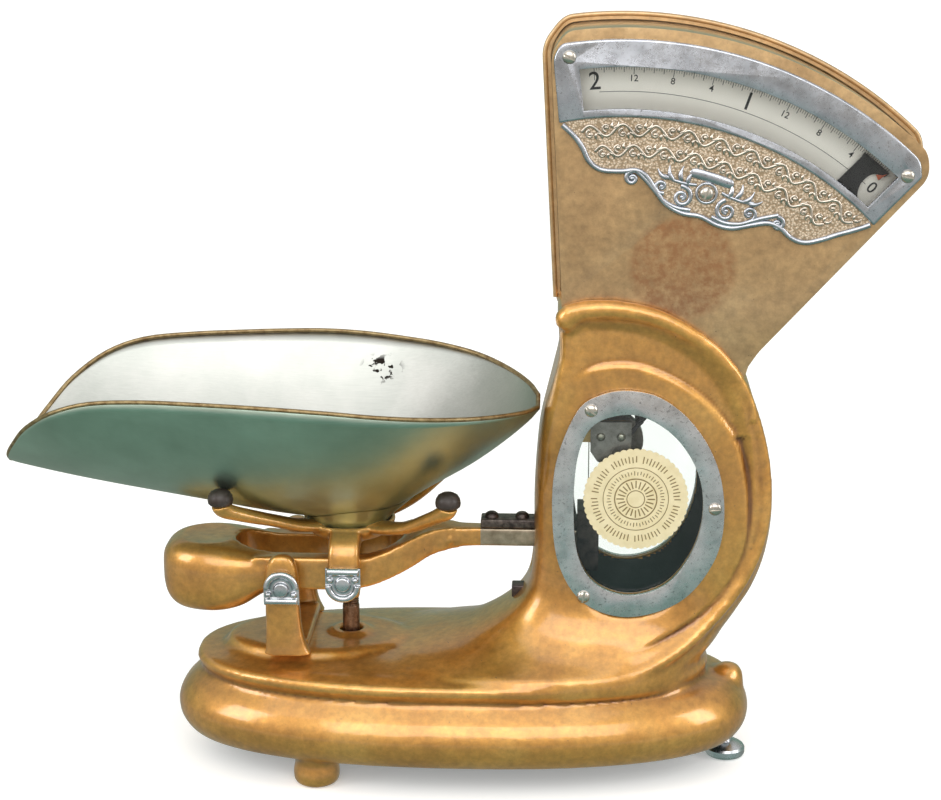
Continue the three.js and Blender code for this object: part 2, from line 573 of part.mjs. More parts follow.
// ---- Load spider ------------------------------------------------------------------------------------
function loadSpider() {
  const hubInside = [[25.5, HUB_TOP], [23.5, HUB_FLOOR], [0, HUB_FLOOR]];
  const hubProfile = [[0, 143], [20, 143], [27, 147], [28, HUB_TOP], ...hubInside];
  let made = turned(hubProfile, LOAD_X, 0, 28);
  for (const sx of [-1, 1]) {
    for (const sy of [-1, 1]) {
      const at = (share, z) => v3(LOAD_X + (sx * ARM_TIP.x + ARMS_SHIFT) * share, sy * ARM_TIP.y * share, z);
      const path = [at(0.25, 148), at(0.45, 151), at(0.7, 156), at(0.9, 164.5), at(1, ARM_TIP.z + 3)];
      made = join(made, bent(path, 4.6, 10));
    }
  }
  for (const [, side] of SIDES) {
    const [y0, y1] = span(side, POST_IN, POST_OUT);
    const r = 9.5;
    const turns = Array.from({ length: 9 }, (_, i) => (i / 8) * PI);
    const bottom = turns.map((a) => [LOAD_X - r * cos(a), KNIFE_Z - r * sin(a)]);
    const leg = slab([...bottom, [LOAD_X + 8.5, 150], [LOAD_X - 8.5, 150]], y0, y1);
    const reach = box(LOAD_X - 8.5, LOAD_X + 8.5, ...span(side, 15, POST_OUT), 142, 150);
    made = join(made, leg, reach);
  }
  const floor = bar("z", HUB_FLOOR, 160, LOAD_X, 0, 23.5, { r2: 28.4, sides: 28 });
  const above = box(-200, 100, -100, 100, ARM_TIP.z, 220);
  const seats = bar("y", -60, 60, LOAD_X, KNIFE_Z, KNIFE_R + 0.5);
  const rodSocket = bar("z", 130, 147, LOAD_X, 0, 3.8, { sides: 16 });
  return cut(made, floor, above, seats, rodSocket);
}

add("load_spider", GOLD, loadSpider());
for (const [name, side] of SIDES) add("load_cap_" + name, NICKEL, bearingCap(LOAD_X, KNIFE_Z, side, -1));
const PAD = [[0, 0], [6, 0], [7.3, 2.5], [6.8, 5.5], [4.4, 8.2], [0, 9.3]];
for (const [side, sy] of SIDES) {
  for (const [hand, sx] of [["left", -1], ["right", 1]]) {
    const pad = PAD.map(([r, z]) => [r, ARM_TIP.z + GAP + z]);
    const x = LOAD_X + sx * ARM_TIP.x + ARMS_SHIFT;
    add(`arm_pad_${side}_${hand}`, RUBBER, turned(pad, x, sy * ARM_TIP.y, 16));
  }
}

function checkRod() {
  const pinHole = bar("y", -8, 8, LOAD_X, CHECK_Z, PIN_HOLE, { sides: 12 });
  const boss = [[0, 40], [4.4, 40], [4.4, 52]];
  const shank = [[3.5, 53], [3.5, 84], [4.6, 84], [4.6, 136], [3.5, 136], [3.5, 146], [0, 146]];
  return cut(turned([...boss, ...shank], LOAD_X, 0, 14), pinHole);
}

add("check_rod", STEEL, checkRod());

/** A fork that keeps the load spider upright, parallel to the lever between its knife edges. */
function checkLink() {
  const cheek = (side) => {
    const thin = span(side, 4.8, 7);
    const ends = [FULCRUM_X, LOAD_X].map((x) => bar("y", ...thin, x, CHECK_Z, 4.5, { sides: 14 }));
    return join(box(FULCRUM_X, LOAD_X, ...thin, CHECK_Z - 3, CHECK_Z + 3), ...ends);
  };
  const pins = [FULCRUM_X, LOAD_X].map((x) => bar("y", -6, 6, x, CHECK_Z, 1.5, { sides: 12 }));
  const spacer = box(-88, -80, -5, 5, CHECK_Z - 2, CHECK_Z + 2);
  return join(cheek(-1), cheek(1), spacer, ...pins);
}

add("check_link", STEEL, checkLink());

// ---- Scoop ------------------------------------------------------------------------------------------
/** Stations along the scoop: x, lowest z, rim z, half width at the rim. */
const SCOOP = [
  [-269, 189, 191.5, 16],
  [-266, 188.3, 199, 31],
  [-259, 186.8, 209, 45],
  [-247, 184.3, 223, 60],
  [-228, 180.6, 236, 74],
  [-205, 176.2, 243.5, 80.5],
  [-175, 171, 246, 85],
  [-145, 166, 246.5, 90],
  [-115, 161, 246.5, 95],
  [-90, 158, 246, 98.5],
  [-65, 157.5, 244.5, 99],
  [-40, 163.5, 242, 97],
  [-15, 178, 239.5, 91],
  [9, 192, 236.5, 78],
  [28, 205.5, 233, 58],
  [42, 217, 229.5, 35],
  [48.5, 223.5, 227, 14],
];
const SCOOP_POWER = 2.2; // how square the scoop's cross-section is
const SHEET_T = 1.3;

/** A thin sheet from a grid of points, thickened downwards and outwards along its normals. */
function sheet(grid, thickness) {
  const rows = grid.length;
  const cols = grid[0].length;
  const at = (i, j) => grid[Math.min(Math.max(i, 0), rows - 1)][Math.min(Math.max(j, 0), cols - 1)];
  const under = grid.map((row, i) => row.map((p, j) => {
    const along = at(i + 1, j).clone().sub(at(i - 1, j));
    const across = at(i, j + 1).clone().sub(at(i, j - 1));
    return p.clone().sub(along.cross(across).normalize().multiplyScalar(thickness));
  }));
  const position = [];
  const quad = (a, b, c, d) => [a, b, c, a, c, d].forEach((p) => position.push(p.x, p.y, p.z));
  for (let i = 0; i + 1 < rows; i++) {
    for (let j = 0; j + 1 < cols; j++) {
      quad(grid[i][j], grid[i + 1][j], grid[i + 1][j + 1], grid[i][j + 1]);
      quad(under[i][j], under[i][j + 1], under[i + 1][j + 1], under[i + 1][j]);
    }
    quad(grid[i][0], under[i][0], under[i + 1][0], grid[i + 1][0]);
    quad(grid[i + 1][cols - 1], under[i + 1][cols - 1], under[i][cols - 1], grid[i][cols - 1]);
  }
  for (let j = 0; j + 1 < cols; j++) {
    quad(grid[0][j], grid[0][j + 1], under[0][j + 1], under[0][j]);
    quad(grid[rows - 1][j + 1], grid[rows - 1][j], under[rows - 1][j], under[rows - 1][j + 1]);
  }
  const g = new THREE.BufferGeometry();
  return solid(g.setAttribute("position", new THREE.Float32BufferAttribute(position, 3)));
}

/** Points across the scoop's inside at one station, front to rear. */
function scoopSection(x, low, rim, half, steps) {
  return Array.from({ length: steps + 1 }, (_, j) => {
    const s = (2 * j) / steps - 1;
    return v3(x, half * s, low + (rim - low) * abs(s) ** SCOOP_POWER);
  });
}

const scoop = () => sheet(SCOOP.map(([x, low, rim, half]) => scoopSection(x, low, rim, half, 14)), SHEET_T);

add("scoop", SHEET, scoop());

/** A flared cup under the scoop that sits in the spider's hub, its rim trimmed to the scoop. */
function scoopFoot() {
  const low = HUB_FLOOR + GAP;
  const outer = [[0, low], [22.5, low], [24.6, HUB_TOP - 0.5], [26.5, HUB_TOP + 1.5], [43, 164], [43, 178]];
  const inner = [[40.5, 178], [40.5, 166.5], [24, 157.5], [20.5, low + 2], [0, low + 2]];
  const cup = turned([...outer, ...inner], LOAD_X, 0, 28);
  const underside = SCOOP.slice(5, 14).map(([x, bottom, rim, half]) => {
    const drop = SHEET_T * 1.35 + GAP;
    const section = scoopSection(x, bottom - drop, rim - drop, half, 16);
    return [...section, v3(x, half, rim + 30), v3(x, -half, rim + 30)];
  });
  return cut(cup, loft(underside));
}

add("scoop_foot", SHEET, scoopFoot());

// ---- Pendulum ---------------------------------------------------------------------------------------
const PENDULUM_ANGLE = 180 - PENDULUM_TILT; // as a dial angle
const [BOB_X, BOB_Z] = polar(ROD_LENGTH, PENDULUM_ANGLE);
const shaftHole = (from, to) => bar("y", from, to, PIVOT.x, PIVOT.z, SHAFT_R + 0.25, { sides: 20 });

add("pendulum_shaft", STEEL, bar("y", -27.8, 27.8, PIVOT.x, PIVOT.z, SHAFT_R, { sides: 20 }));

/** A straight strip from radius r0 to r1 about the pivot, at a dial angle. */
function strip(degrees, r0, r1, halfWidth, y0, y1) {
  const along = (r, w) => {
    const [x, z] = polar(r, degrees);
    return [x + w * cos(rad(degrees)), z - w * sin(rad(degrees))];
  };
  const left = [along(r0, -halfWidth), along(r1, -halfWidth)];
  const right = [along(r1, halfWidth), along(r0, halfWidth)];
  return slab([...left, ...right], y0, y1);
}

function pendulumCam() {
  const disc = bar("y", -4, 4, PIVOT.x, PIVOT.z, CAM_R, { sides: 32 });
  return cut(join(disc, strip(PENDULUM_ANGLE, 8, ROD_LENGTH, 3, -3, 3)), shaftHole(-6, 6));
}

add("pendulum_cam", STEEL, pendulumCam());

function pendulumBob() {
  const disc = bar("y", -11, 11, BOB_X, BOB_Z, BOB_R, { sides: 28 });
  return cut(disc, strip(PENDULUM_ANGLE, 8, ROD_LENGTH + GAP, 3 + GAP, -3 - GAP, 3 + GAP));
}

add("pendulum_bob", BRASS, pendulumBob());

/** Two needles, front and rear, on one hub, each with a black vane that frames the reading. */
function pointer() {
  const parts = SIDES.map(([, side]) => {
    const thin = span(side, NEEDLE_Y - 0.5, NEEDLE_Y + 0.5);
    const hub = bar("y", ...span(side, 4.6, NEEDLE_Y + 0.5), PIVOT.x, PIVOT.z, 6, { sides: 20 });
    const needle = strip(ZERO_ANGLE, 4, 222, 1.2, ...thin);
    const vaneTop = arc(223, ZERO_ANGLE - 2.6, ZERO_ANGLE + 1, 3);
    const vaneFoot = arc(204, ZERO_ANGLE + 0.2, ZERO_ANGLE - 2.9, 3);
    const vane = slab([...vaneTop, ...vaneFoot], ...thin);
    return join(hub, needle, vane);
  });
  const bridge = strip(ZERO_ANGLE, 18, 22, 1.5, -NEEDLE_Y, NEEDLE_Y);
  return cut(join(...parts, bridge), shaftHole(-30, 30));
}

add("pointer", BLACKENED, pointer());

// ---- Draw link --------------------------------------------------------------------------------------
/** A stirrup round the lever's nose, with a cross pin that the nose presses down. */
function drawLink() {
  const outer = box(RIBBON_X - 7, RIBBON_X + 6, -11, 11, LINK.low, LINK.high);
  const inside = box(60, 100, -8.5, 8.5, LINK.low + LINK.wall, LINK.high - LINK.wall);
  const rodHole = bar("z", LINK.low - 3, LINK.low + 7, RIBBON_X, 0, 1.9, { sides: 12 });
  const pin = bar("y", -10, 10, RIBBON_X - 0.6, NOSE_UNDER - 2.6, 2.2, { sides: 14 });
  return join(cut(outer, inside, rodHole), pin);
}

add("draw_link", BLACKENED, drawLink());
add("draw_ribbon", STEEL, box(RIBBON_X - 0.8, RIBBON_X - GAP, -3, 3, LINK.high + GAP, PIVOT.z + 2));

/** A disc in the dashpot, hung from the draw link by a thin rod with a head. */
function damperPlunger() {
  const seat = LINK.low + LINK.wall + GAP;
  const discR = DASHPOT.r - DASHPOT.wall - 0.7;
  const disc = [[0, 58], [discR, 58], [discR, 61]];
  const rod = [[1.6, 61], [1.6, seat], [3.4, seat], [3.4, seat + 2], [0, seat + 2]];
  return turned([...disc, ...rod], DASHPOT.x, 0, 16);
}

add("damper_plunger", STEEL, damperPlunger());

// ---- Levelling foot ---------------------------------------------------------------------------------
const levelFoot = [[0, 0], [10.5, 0], [12.5, 2], [12.5, 5], [9, 8], [4, 9], [4, 48], [0, 48]];
add("levelling_foot", NICKEL, turned(levelFoot, LEVEL_X, 0, 20));

export default scale;
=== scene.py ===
"""Looks for the fan-dial counter scale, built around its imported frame.

Sizes are in millimetres until a mesh is made.
"""

import json
import math

import bmesh
import bpy
import numpy as np
from mathutils import Matrix, Vector


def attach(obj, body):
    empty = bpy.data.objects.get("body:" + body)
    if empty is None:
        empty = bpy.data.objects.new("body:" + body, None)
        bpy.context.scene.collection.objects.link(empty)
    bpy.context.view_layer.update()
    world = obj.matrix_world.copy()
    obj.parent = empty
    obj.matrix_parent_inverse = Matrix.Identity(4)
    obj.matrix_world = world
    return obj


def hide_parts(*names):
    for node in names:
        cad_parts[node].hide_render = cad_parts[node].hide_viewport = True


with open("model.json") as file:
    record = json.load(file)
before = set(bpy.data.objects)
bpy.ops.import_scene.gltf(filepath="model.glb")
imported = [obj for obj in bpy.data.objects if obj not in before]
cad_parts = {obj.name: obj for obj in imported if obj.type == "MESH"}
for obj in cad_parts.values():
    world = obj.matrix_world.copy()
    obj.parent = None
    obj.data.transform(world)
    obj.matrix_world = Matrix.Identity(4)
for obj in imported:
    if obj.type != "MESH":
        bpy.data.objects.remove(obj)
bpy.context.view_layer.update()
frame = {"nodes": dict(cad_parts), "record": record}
MM = 0.001
SIDES = {"front": -1, "rear": 1}

# ---- Driving dimensions, as in the part
PIVOT = (96.0, 204.0)
ZERO_ANGLE = 41.0  # where the pointer stands at rest
DIAL_ZERO, OUNCE, OUNCES = 42.3, 1.46, 32  # the dial's 0, its degrees for one ounce, and its ounces
TICKS = [(64, 7.5), (16, 4.6), (4, 3.4), (1, 2.0)]  # every so many quarter ounces, and the tick's length
HEAD_R = 247.0
HEAD_HALF = 30.0
HOUSING_BACK = 25.5
GAP = 0.3  # between a part and its seat
CARD_Y, INK_T = 18.0, 0.12  # a dial card's face, and the height of its print
WINDOW_IN, WINDOW_OUT, WINDOW_FROM, WINDOW_TO = 202.0, 225.5, -6.5, 43.2
BEZEL_R = 241.0
RING_SEAT, RING_T = 34.2, 3.0
RING_FACE = RING_SEAT + GAP + RING_T
BASE_X, BASE_LONG, BASE_WIDE, BASE_POWER = 3.0, 177.0, 79.0, 2.3
DECK_X, DECK_LONG, DECK_WIDE, DECK_Z, DECK_CROWN = -3.5, 158.5, 70.0, 69.0, 7.0
PLINTH_TOP = 78.0
FULCRUM_X, LOAD_X, KNIFE_Z = -103.0, -66.0, 124.0
ARM_IN, ARM_OUT, POST_IN, POST_OUT = 17.0, 28.5, 31.0, 42.0
LEVEL_X = 167.0
DAMPER_Z = 107.0
FOOT_X, FOOT_Y = -83.0, 50.0
NOSE_END, NOSE_TOP, NOSE_UNDER = 85.0, 148.0, 136.8
NOSE_SCREWS = (21.0, 39.5)
STRAP_Z, STRAP_T = 148.3, 5.5
ARM_TIP_X, ARM_TIP_Y, ARM_TIP_Z, ARMS_SHIFT = 66.5, 56.5, 177.0, -3.0
SEAL, SEAL_POINTS = (107.0, 177.0), 48
FULCRUM_CAP_Z = 121.0
RING_OUTER = [
    (103, 243.5), (122, 238.5), (141, 222), (155, 196), (159, 165), (153, 138), (134, 114),
    (104, 104), (78, 112), (63, 134), (58, 165), (60, 200), (72, 231), (86, 241),
]
RING_INNER = [
    (98, 229), (114, 226.5), (131, 214), (143, 194), (146.5, 170), (141, 146), (126, 125),
    (104, 117.5), (84, 124.5), (73.5, 142), (70.5, 170), (72.5, 203), (81, 222),
]
RING_SCREWS = {"top": (80, 231.5), "side": (153.5, 172.5), "bottom": (77, 116.5)}
PLATE_SCREWS = [(86, 213), (98, 213)]
# z, left, right, half depth, squareness
COLUMN = [
    (60, -70, 150, 66, 2.3), (71, -62, 151, 65, 2.3), (75, -42, 154, 60, 2.3), (79, -20, 157, 54, 2.4),
    (84, 1, 160, 48.5, 2.6), (90, 15, 163, 43.5, 2.9), (98, 28, 168, 39, 3.3), (107, 38, 173, 36, 3.9),
    (118, 44, 179, 34.4, 4.4), (135, 46.5, 185, 34, 4.8), (155, 47, 188.5, 34, 5), (175, 47, 189, 34, 5),
    (195, 48, 186.5, 34, 5), (215, 50, 181.5, 34, 6), (232, 54, 176, 34, 8), (248, 58, 171.5, 34, 12),
    (265, 61, 170, 34, 12), (296, 59, 170, 34, 12),
]
ROOM_FLOOR = [(45, 48, 128, 32, 3), (80, 48, 150, 32, 3), (102, 46, 166, 33, 4)]
COLUMN_ROOM = [*ROOM_FLOOR, *COLUMN[8:], (310, 59, 170, 34, 5)]
# x, lowest z, rim z, half width at the rim
SCOOP_STATIONS = [
    (-269, 189, 191.5, 16), (-266, 188.3, 199, 31), (-259, 186.8, 209, 45), (-247, 184.3, 223, 60),
    (-228, 180.6, 236, 74), (-205, 176.2, 243.5, 80.5), (-175, 171, 246, 85), (-145, 166, 246.5, 90),
    (-115, 161, 246.5, 95), (-90, 158, 246, 98.5), (-65, 157.5, 244.5, 99), (-40, 163.5, 242, 97),
    (-15, 178, 239.5, 91), (9, 192, 236.5, 78), (28, 205.5, 233, 58), (42, 217, 229.5, 35),
    (48.5, 223.5, 227, 14),
]
SCOOP_POWER = 2.2
SHEET_T = 1.3


# ---- Curves
def spline(points, steps, closed=False):
    """A smooth line through the points, `steps` pieces between each two."""
    p = np.array(points, float)
    count = len(p)
    if closed:
        p = np.vstack([p[-1:], p, p[:2]])
    else:
        p = np.vstack([2 * p[0] - p[1], p, 2 * p[-1] - p[-2]])
    out = []
    for i in range(count if closed else count - 1):
        a, b, c, d = p[i : i + 4]
        for t in np.arange(steps) / steps:
            bend = 2 * b + (c - a) * t + (2 * a - 5 * b + 4 * c - d) * t**2 + (3 * b - a - 3 * c + d) * t**3
            out.append(bend / 2)
    if not closed:
        out.append(p[-2])
    return np.array(out)


def grown(outline, by):
    """A closed clockwise outline moved outwards."""
    p = np.asarray(outline, float)
    t = np.roll(p, -1, axis=0) - np.roll(p, 1, axis=0)
    t /= np.linalg.norm(t, axis=1)[:, None]
    return p + by * np.stack([-t[:, 1], t[:, 0]], axis=1)


def polar(r, degrees):
    a = math.radians(degrees)
    return (PIVOT[0] + r * math.sin(a), PIVOT[1] + r * math.cos(a))


def arc(r, start, end, steps=40):
    return [polar(r, start + (end - start) * i / steps) for i in range(steps + 1)]


def oval(x, a, b, z, power, count):
    t = np.arange(count) / count * 2 * math.pi
    part = lambda s: np.sign(s) * np.abs(s) ** (2 / power)
    return np.stack([x + a * part(np.cos(t)), b * part(np.sin(t)), np.full(count, float(z))], axis=1)


def distance_to(line, xz):
    """How far each point lies from a line of points, in one plane."""
    best = np.full(len(xz), 1e9)
    for a, b in zip(line[:-1], line[1:]):
        ab = b - a
        t = np.clip(((xz - a) @ ab) / (ab @ ab), 0, 1)
        best = np.minimum(best, np.linalg.norm(xz - a - t[:, None] * ab, axis=1))
    return best


def inside(outline, xz):
    """Which points lie inside a closed outline, in one plane."""
    within = np.zeros(len(xz), bool)
    for (ax, az), (bx, bz) in zip(outline, np.roll(outline, -1, axis=0)):
        crosses = (az > xz[:, 1]) != (bz > xz[:, 1])
        rise = bz - az if bz != az else 1e-9
        within ^= crosses & (xz[:, 0] < (bx - ax) * (xz[:, 1] - az) / rise + ax)
    return within


def ease(value, low, high):
    """0 below low, 1 above high, smooth between."""
    t = np.clip((value - low) / (high - low), 0, 1)
    return t * t * (3 - 2 * t)


def rounded(outline, radii, steps=6):
    """A closed outline with some corners rounded; radii maps a corner's number to its cut-back length."""
    p = [np.array(q, float) for q in outline]
    out = []
    for i, corner in enumerate(p):
        back = radii.get(i, 0)
        if not back:
            out.append(corner)
            continue
        before, after = p[i - 1] - corner, p[(i + 1) % len(p)] - corner
        a = corner + before / np.linalg.norm(before) * min(back, np.linalg.norm(before) / 2)
        b = corner + after / np.linalg.norm(after) * min(back, np.linalg.norm(after) / 2)
        for t in np.linspace(0, 1, steps):
            out.append((1 - t) ** 2 * a + 2 * t * (1 - t) * corner + t**2 * b)
    return out


def span(side, near, far):
    return (-far, -near) if side < 0 else (near, far)


def swung(points, centre, radians):
    """Flat points turned about the origin, then moved to a centre."""
    c, s = math.cos(radians), math.sin(radians)
    return [(centre[0] + u * c - v * s, centre[1] + u * s + v * c) for u, v in points]


def spoke(degrees, r0, r1, half):
    """The corners of a straight bar that points away from the pivot."""
    (x0, z0), (x1, z1) = polar(r0, degrees), polar(r1, degrees)
    a = math.radians(degrees)
    u, v = half * math.cos(a), -half * math.sin(a)
    return [(x0 - u, z0 - v), (x1 - u, z1 - v), (x1 + u, z1 + v), (x0 + u, z0 + v)]


def spread(table, count):
    """A short list of values stretched evenly over a longer one."""
    return np.interp(np.linspace(0, 1, count), np.linspace(0, 1, len(table)), table)


# ---- Meshes
def placed(name, data):
    """An object of the data, in the scene."""
    piece = bpy.data.objects.new(name, data)
    bpy.context.scene.collection.objects.link(piece)
    return piece


def new_object(name, points, faces):
    mesh = bpy.data.meshes.new(name)
    points = [tuple(float(c) * MM for c in p) for p in points]
    mesh.from_pydata(points, [], [list(map(int, f)) for f in faces])
    mesh.validate()
    return placed(name, mesh)


def face_outwards(piece):
    bm = bmesh.new()
    bm.from_mesh(piece.data)
    bmesh.ops.recalc_face_normals(bm, faces=bm.faces)
    bm.to_mesh(piece.data)
    bm.free()
    return piece


def loft(name, rings, cyclic=False):
    """Rings of equal point counts joined by a skin, with flat ends unless the rings close on themselves."""
    rings = [np.asarray(r, float) for r in rings]
    n = len(rings[0])
    faces = []
    rows = len(rings) if cyclic else len(rings) - 1
    for k in range(rows):
        low, high = k * n, (k + 1) % len(rings) * n
        faces += [(low + i, low + (i + 1) % n, high + (i + 1) % n, high + i) for i in range(n)]
    if not cyclic:
        faces.append(list(range(n))[::-1])
        faces.append([(len(rings) - 1) * n + i for i in range(n)])
    return face_outwards(new_object(name, np.vstack(rings), faces))


def slab(name, outline, y0, y1):
    """An outline in the X-Z plane pushed through from y0 to y1."""
    flat = np.asarray(outline, float)
    return loft(name, [[(x, y, z) for x, z in flat] for y in (y0, y1)])


def plate(name, outline, z0, z1):
    """An outline in the X-Y plane raised from z0 to z1."""
    return loft(name, [[(x, y, z) for x, y in outline] for z in (z0, z1)])


def box(name, x0, x1, y0, y1, z0, z1):
    return plate(name, [(x0, y0), (x1, y0), (x1, y1), (x0, y1)], z0, z1)


def turned(name, profile, u=0.0, v=0.0, sides=48, axis="z"):
    """A profile of (radius, height) turned about an axis; u, v are its place on the other two axes."""
    order = {"x": [2, 0, 1], "y": [0, 2, 1], "z": [0, 1, 2]}[axis]
    t = np.arange(sides) / sides * 2 * math.pi
    rings = []
    for r, h in profile:
        r = max(r, 1e-3)
        rings.append(np.stack([u + r * np.cos(t), v + r * np.sin(t), np.full(sides, h)], axis=1)[:, order])
    return loft(name, rings)


def rod(name, axis, start, end, u, v, r, sides=32):
    """A round bar along an axis."""
    return turned(name, [(r, start), (r, end)], u, v, sides, axis)


def knob(name, dome, x, z, y, side, sides):
    """A small turned shape on a face; its heights are measured outwards from y."""
    return turned(name, [(r, side * (y + h)) for r, h in dome], x, z, sides, "y")


def frames_along(path, level=False):
    """Side and up at each point of a path, carried along without twisting, or kept level."""
    p = np.asarray(path, float)
    t = np.gradient(p, axis=0)
    t /= np.linalg.norm(t, axis=1)[:, None]
    up = np.array([0.0, 0.0, 1.0]) if abs(t[0][2]) < 0.9 else np.array([0.0, 1.0, 0.0])
    sides, ups = [], []
    for tangent in t:
        if level:
            up = np.array([0.0, 0.0, 1.0])
        side = np.cross(tangent, up)
        side /= np.linalg.norm(side)
        up = np.cross(side, tangent)
        sides.append(side)
        ups.append(up)
    return p, np.array(sides), np.array(ups)


def tube(name, path, radius, sides=12, flat=1.0, cyclic=False, level=False, power=2.0):
    """A bar along a path; radius and flat (its height over its width) are numbers or one for each point."""
    p, side, up = frames_along(path, level)
    radii = np.broadcast_to(np.asarray(radius, float), len(p))
    flats = np.broadcast_to(np.asarray(flat, float), len(p))
    section = oval(0, 1, 1, 0, power, sides)
    rings = [
        c + r * (np.outer(section[:, 0], s) + f * np.outer(section[:, 1], u))
        for c, s, u, r, f in zip(p, side, up, radii, flats)
    ]
    return loft(name, rings, cyclic)


def shade_smooth(piece, angle=None):
    for polygon in piece.data.polygons:
        polygon.use_smooth = True
    if angle is not None:
        bpy.context.view_layer.objects.active = piece
        piece.select_set(True)
        bpy.ops.object.shade_smooth_by_angle(angle=math.radians(angle))
        piece.select_set(False)
    return piece


def modified(piece, kind, **settings):
    """The piece with one modifier made part of its mesh."""
    modifier = piece.modifiers.new(kind, kind)
    for key, value in settings.items():
        setattr(modifier, key, value)
    graph = bpy.context.evaluated_depsgraph_get()
    made = bpy.data.meshes.new_from_object(piece.evaluated_get(graph))
    old = piece.data
    piece.modifiers.clear()
    piece.data = made
    bpy.data.meshes.remove(old)
    return piece


def join(name, pieces):
    """One object from several, each keeping its own closed skin."""
    points, faces = [], []
    for piece in pieces:
        start = len(points)
        points += [v.co / MM for v in piece.data.vertices]
        faces += [[start + i for i in f.vertices] for f in piece.data.polygons]
    made = new_object(name, points, faces)
    remove(pieces)
    return made


def remove(pieces):
    for piece in pieces:
        data = piece.data
        bpy.data.objects.remove(piece)
        bpy.data.meshes.remove(data)


def combine(piece, others, operation):
    for other in others:
        modified(piece, "BOOLEAN", object=other, operation=operation, solver="MANIFOLD")
    remove(others)
    return piece


def cut(piece, cutters):
    return combine(piece, cutters, "DIFFERENCE")


def remesh(piece, voxel):
    return modified(piece, "REMESH", mode="VOXEL", voxel_size=voxel * MM, adaptivity=0)


def soften(piece, rounds):
    return modified(piece, "SMOOTH", factor=0.5, iterations=rounds)


def bevel(piece, width, segments=3):
    """Edges sharper than 35 degrees are rounded off."""
    limit = math.radians(35)
    modified(piece, "BEVEL", width=width * MM, segments=segments, limit_method="ANGLE", angle_limit=limit)
    return shade_smooth(piece, 40)


def cast(name, solids, cuts, voxel=1.5, rounds=5):
    """A casting: solids flowed together, then cut, then softened all over."""
    made = remesh(join(name, solids), voxel)
    if cuts:
        made = remesh(cut(made, cuts), voxel)
    return shade_smooth(soften(made, rounds))


# ---- Materials
SPOT_EDGE = 2.5  # mm over which a spot or a stain fades out, to each side


def feed(tree, socket, value):
    """A socket set to a constant, or linked to another node's output."""
    if isinstance(value, bpy.types.NodeSocket):
        tree.links.new(value, socket)
    elif socket.type == "RGBA":
        socket.default_value = (*value, 1)
    else:
        socket.default_value = value


def add(tree, kind, inputs, output, **settings):
    """One output of a new node; each of its inputs is a constant or another node's output."""
    node = tree.nodes.new("ShaderNode" + kind)
    for key, value in settings.items():
        setattr(node, key, value)
    for key, value in inputs.items():
        feed(tree, node.inputs[key], value)
    return node.outputs[output]


def material(name):
    made = bpy.data.materials.new(name)
    made.use_nodes = True
    return made, made.node_tree


def surface(made, colour, metallic, rough, normal, **coat):
    """The material with its shader's inputs set or linked."""
    shader = made.node_tree.nodes["Principled BSDF"]
    values = {"Base Color": colour, "Metallic": metallic, "Roughness": rough, "Normal": normal, **coat}
    for key, value in values.items():
        feed(made.node_tree, shader.inputs[key], value)
    return made


def ramp(tree, source, stops):
    node = tree.nodes.new("ShaderNodeValToRGB")
    while len(node.color_ramp.elements) < len(stops):
        node.color_ramp.elements.new(0.5)
    for element, (at, colour) in zip(node.color_ramp.elements, stops):
        element.position = at
        element.color = (*colour, 1)
    tree.links.new(source, node.inputs["Fac"])
    return node.outputs["Color"]


def greys(tree, source, *stops):
    return ramp(tree, source, [(at, (v, v, v)) for at, v in stops])


def noise(tree, scale, detail=4.0, roughness=0.55, stretch=(1, 1, 1)):
    """Noise in object space; scale is in waves per metre."""
    place = add(tree, "TexCoord", {}, "Object")
    mapped = add(tree, "Mapping", {"Scale": stretch, "Vector": place}, "Vector")
    inputs = {"Scale": scale, "Detail": detail, "Roughness": roughness, "Vector": mapped}
    return add(tree, "TexNoise", inputs, "Fac")


def blend(tree, factor, a, b, mode="MIX"):
    return add(tree, "Mix", {"Factor": factor, 6: a, 7: b}, 2, data_type="RGBA", blend_type=mode)


def bump(tree, height, strength, distance, **below):
    inputs = {"Strength": strength, "Distance": distance, "Height": height, **below}
    return add(tree, "Bump", inputs, "Normal")


def creases(tree, low, high):
    """0 in hollows to 1 on sharp edges, from the mesh's own curvature."""
    return greys(tree, add(tree, "NewGeometry", {}, "Pointiness"), (low, 0), (high, 1))


def near_spot(tree, spot, r, weigh):
    """1 near a point of the object (mm), 0 beyond r, with a soft edge; weigh can leave an axis out."""
    place = add(tree, "TexCoord", {}, "Object")
    scaled = add(tree, "VectorMath", {0: place, 1: [1000 * w for w in weigh]}, "Vector", operation="MULTIPLY")
    middle = [c * w for c, w in zip(spot, weigh)]
    gap = add(tree, "VectorMath", {0: scaled, 1: middle}, "Value", operation="DISTANCE")
    inputs = {"From Min": r + SPOT_EDGE, "From Max": r - SPOT_EDGE, "Value": gap}
    return add(tree, "MapRange", inputs, "Result")


def multiply(tree, a, b):
    return add(tree, "Math", {0: a, 1: b}, "Value", operation="MULTIPLY")


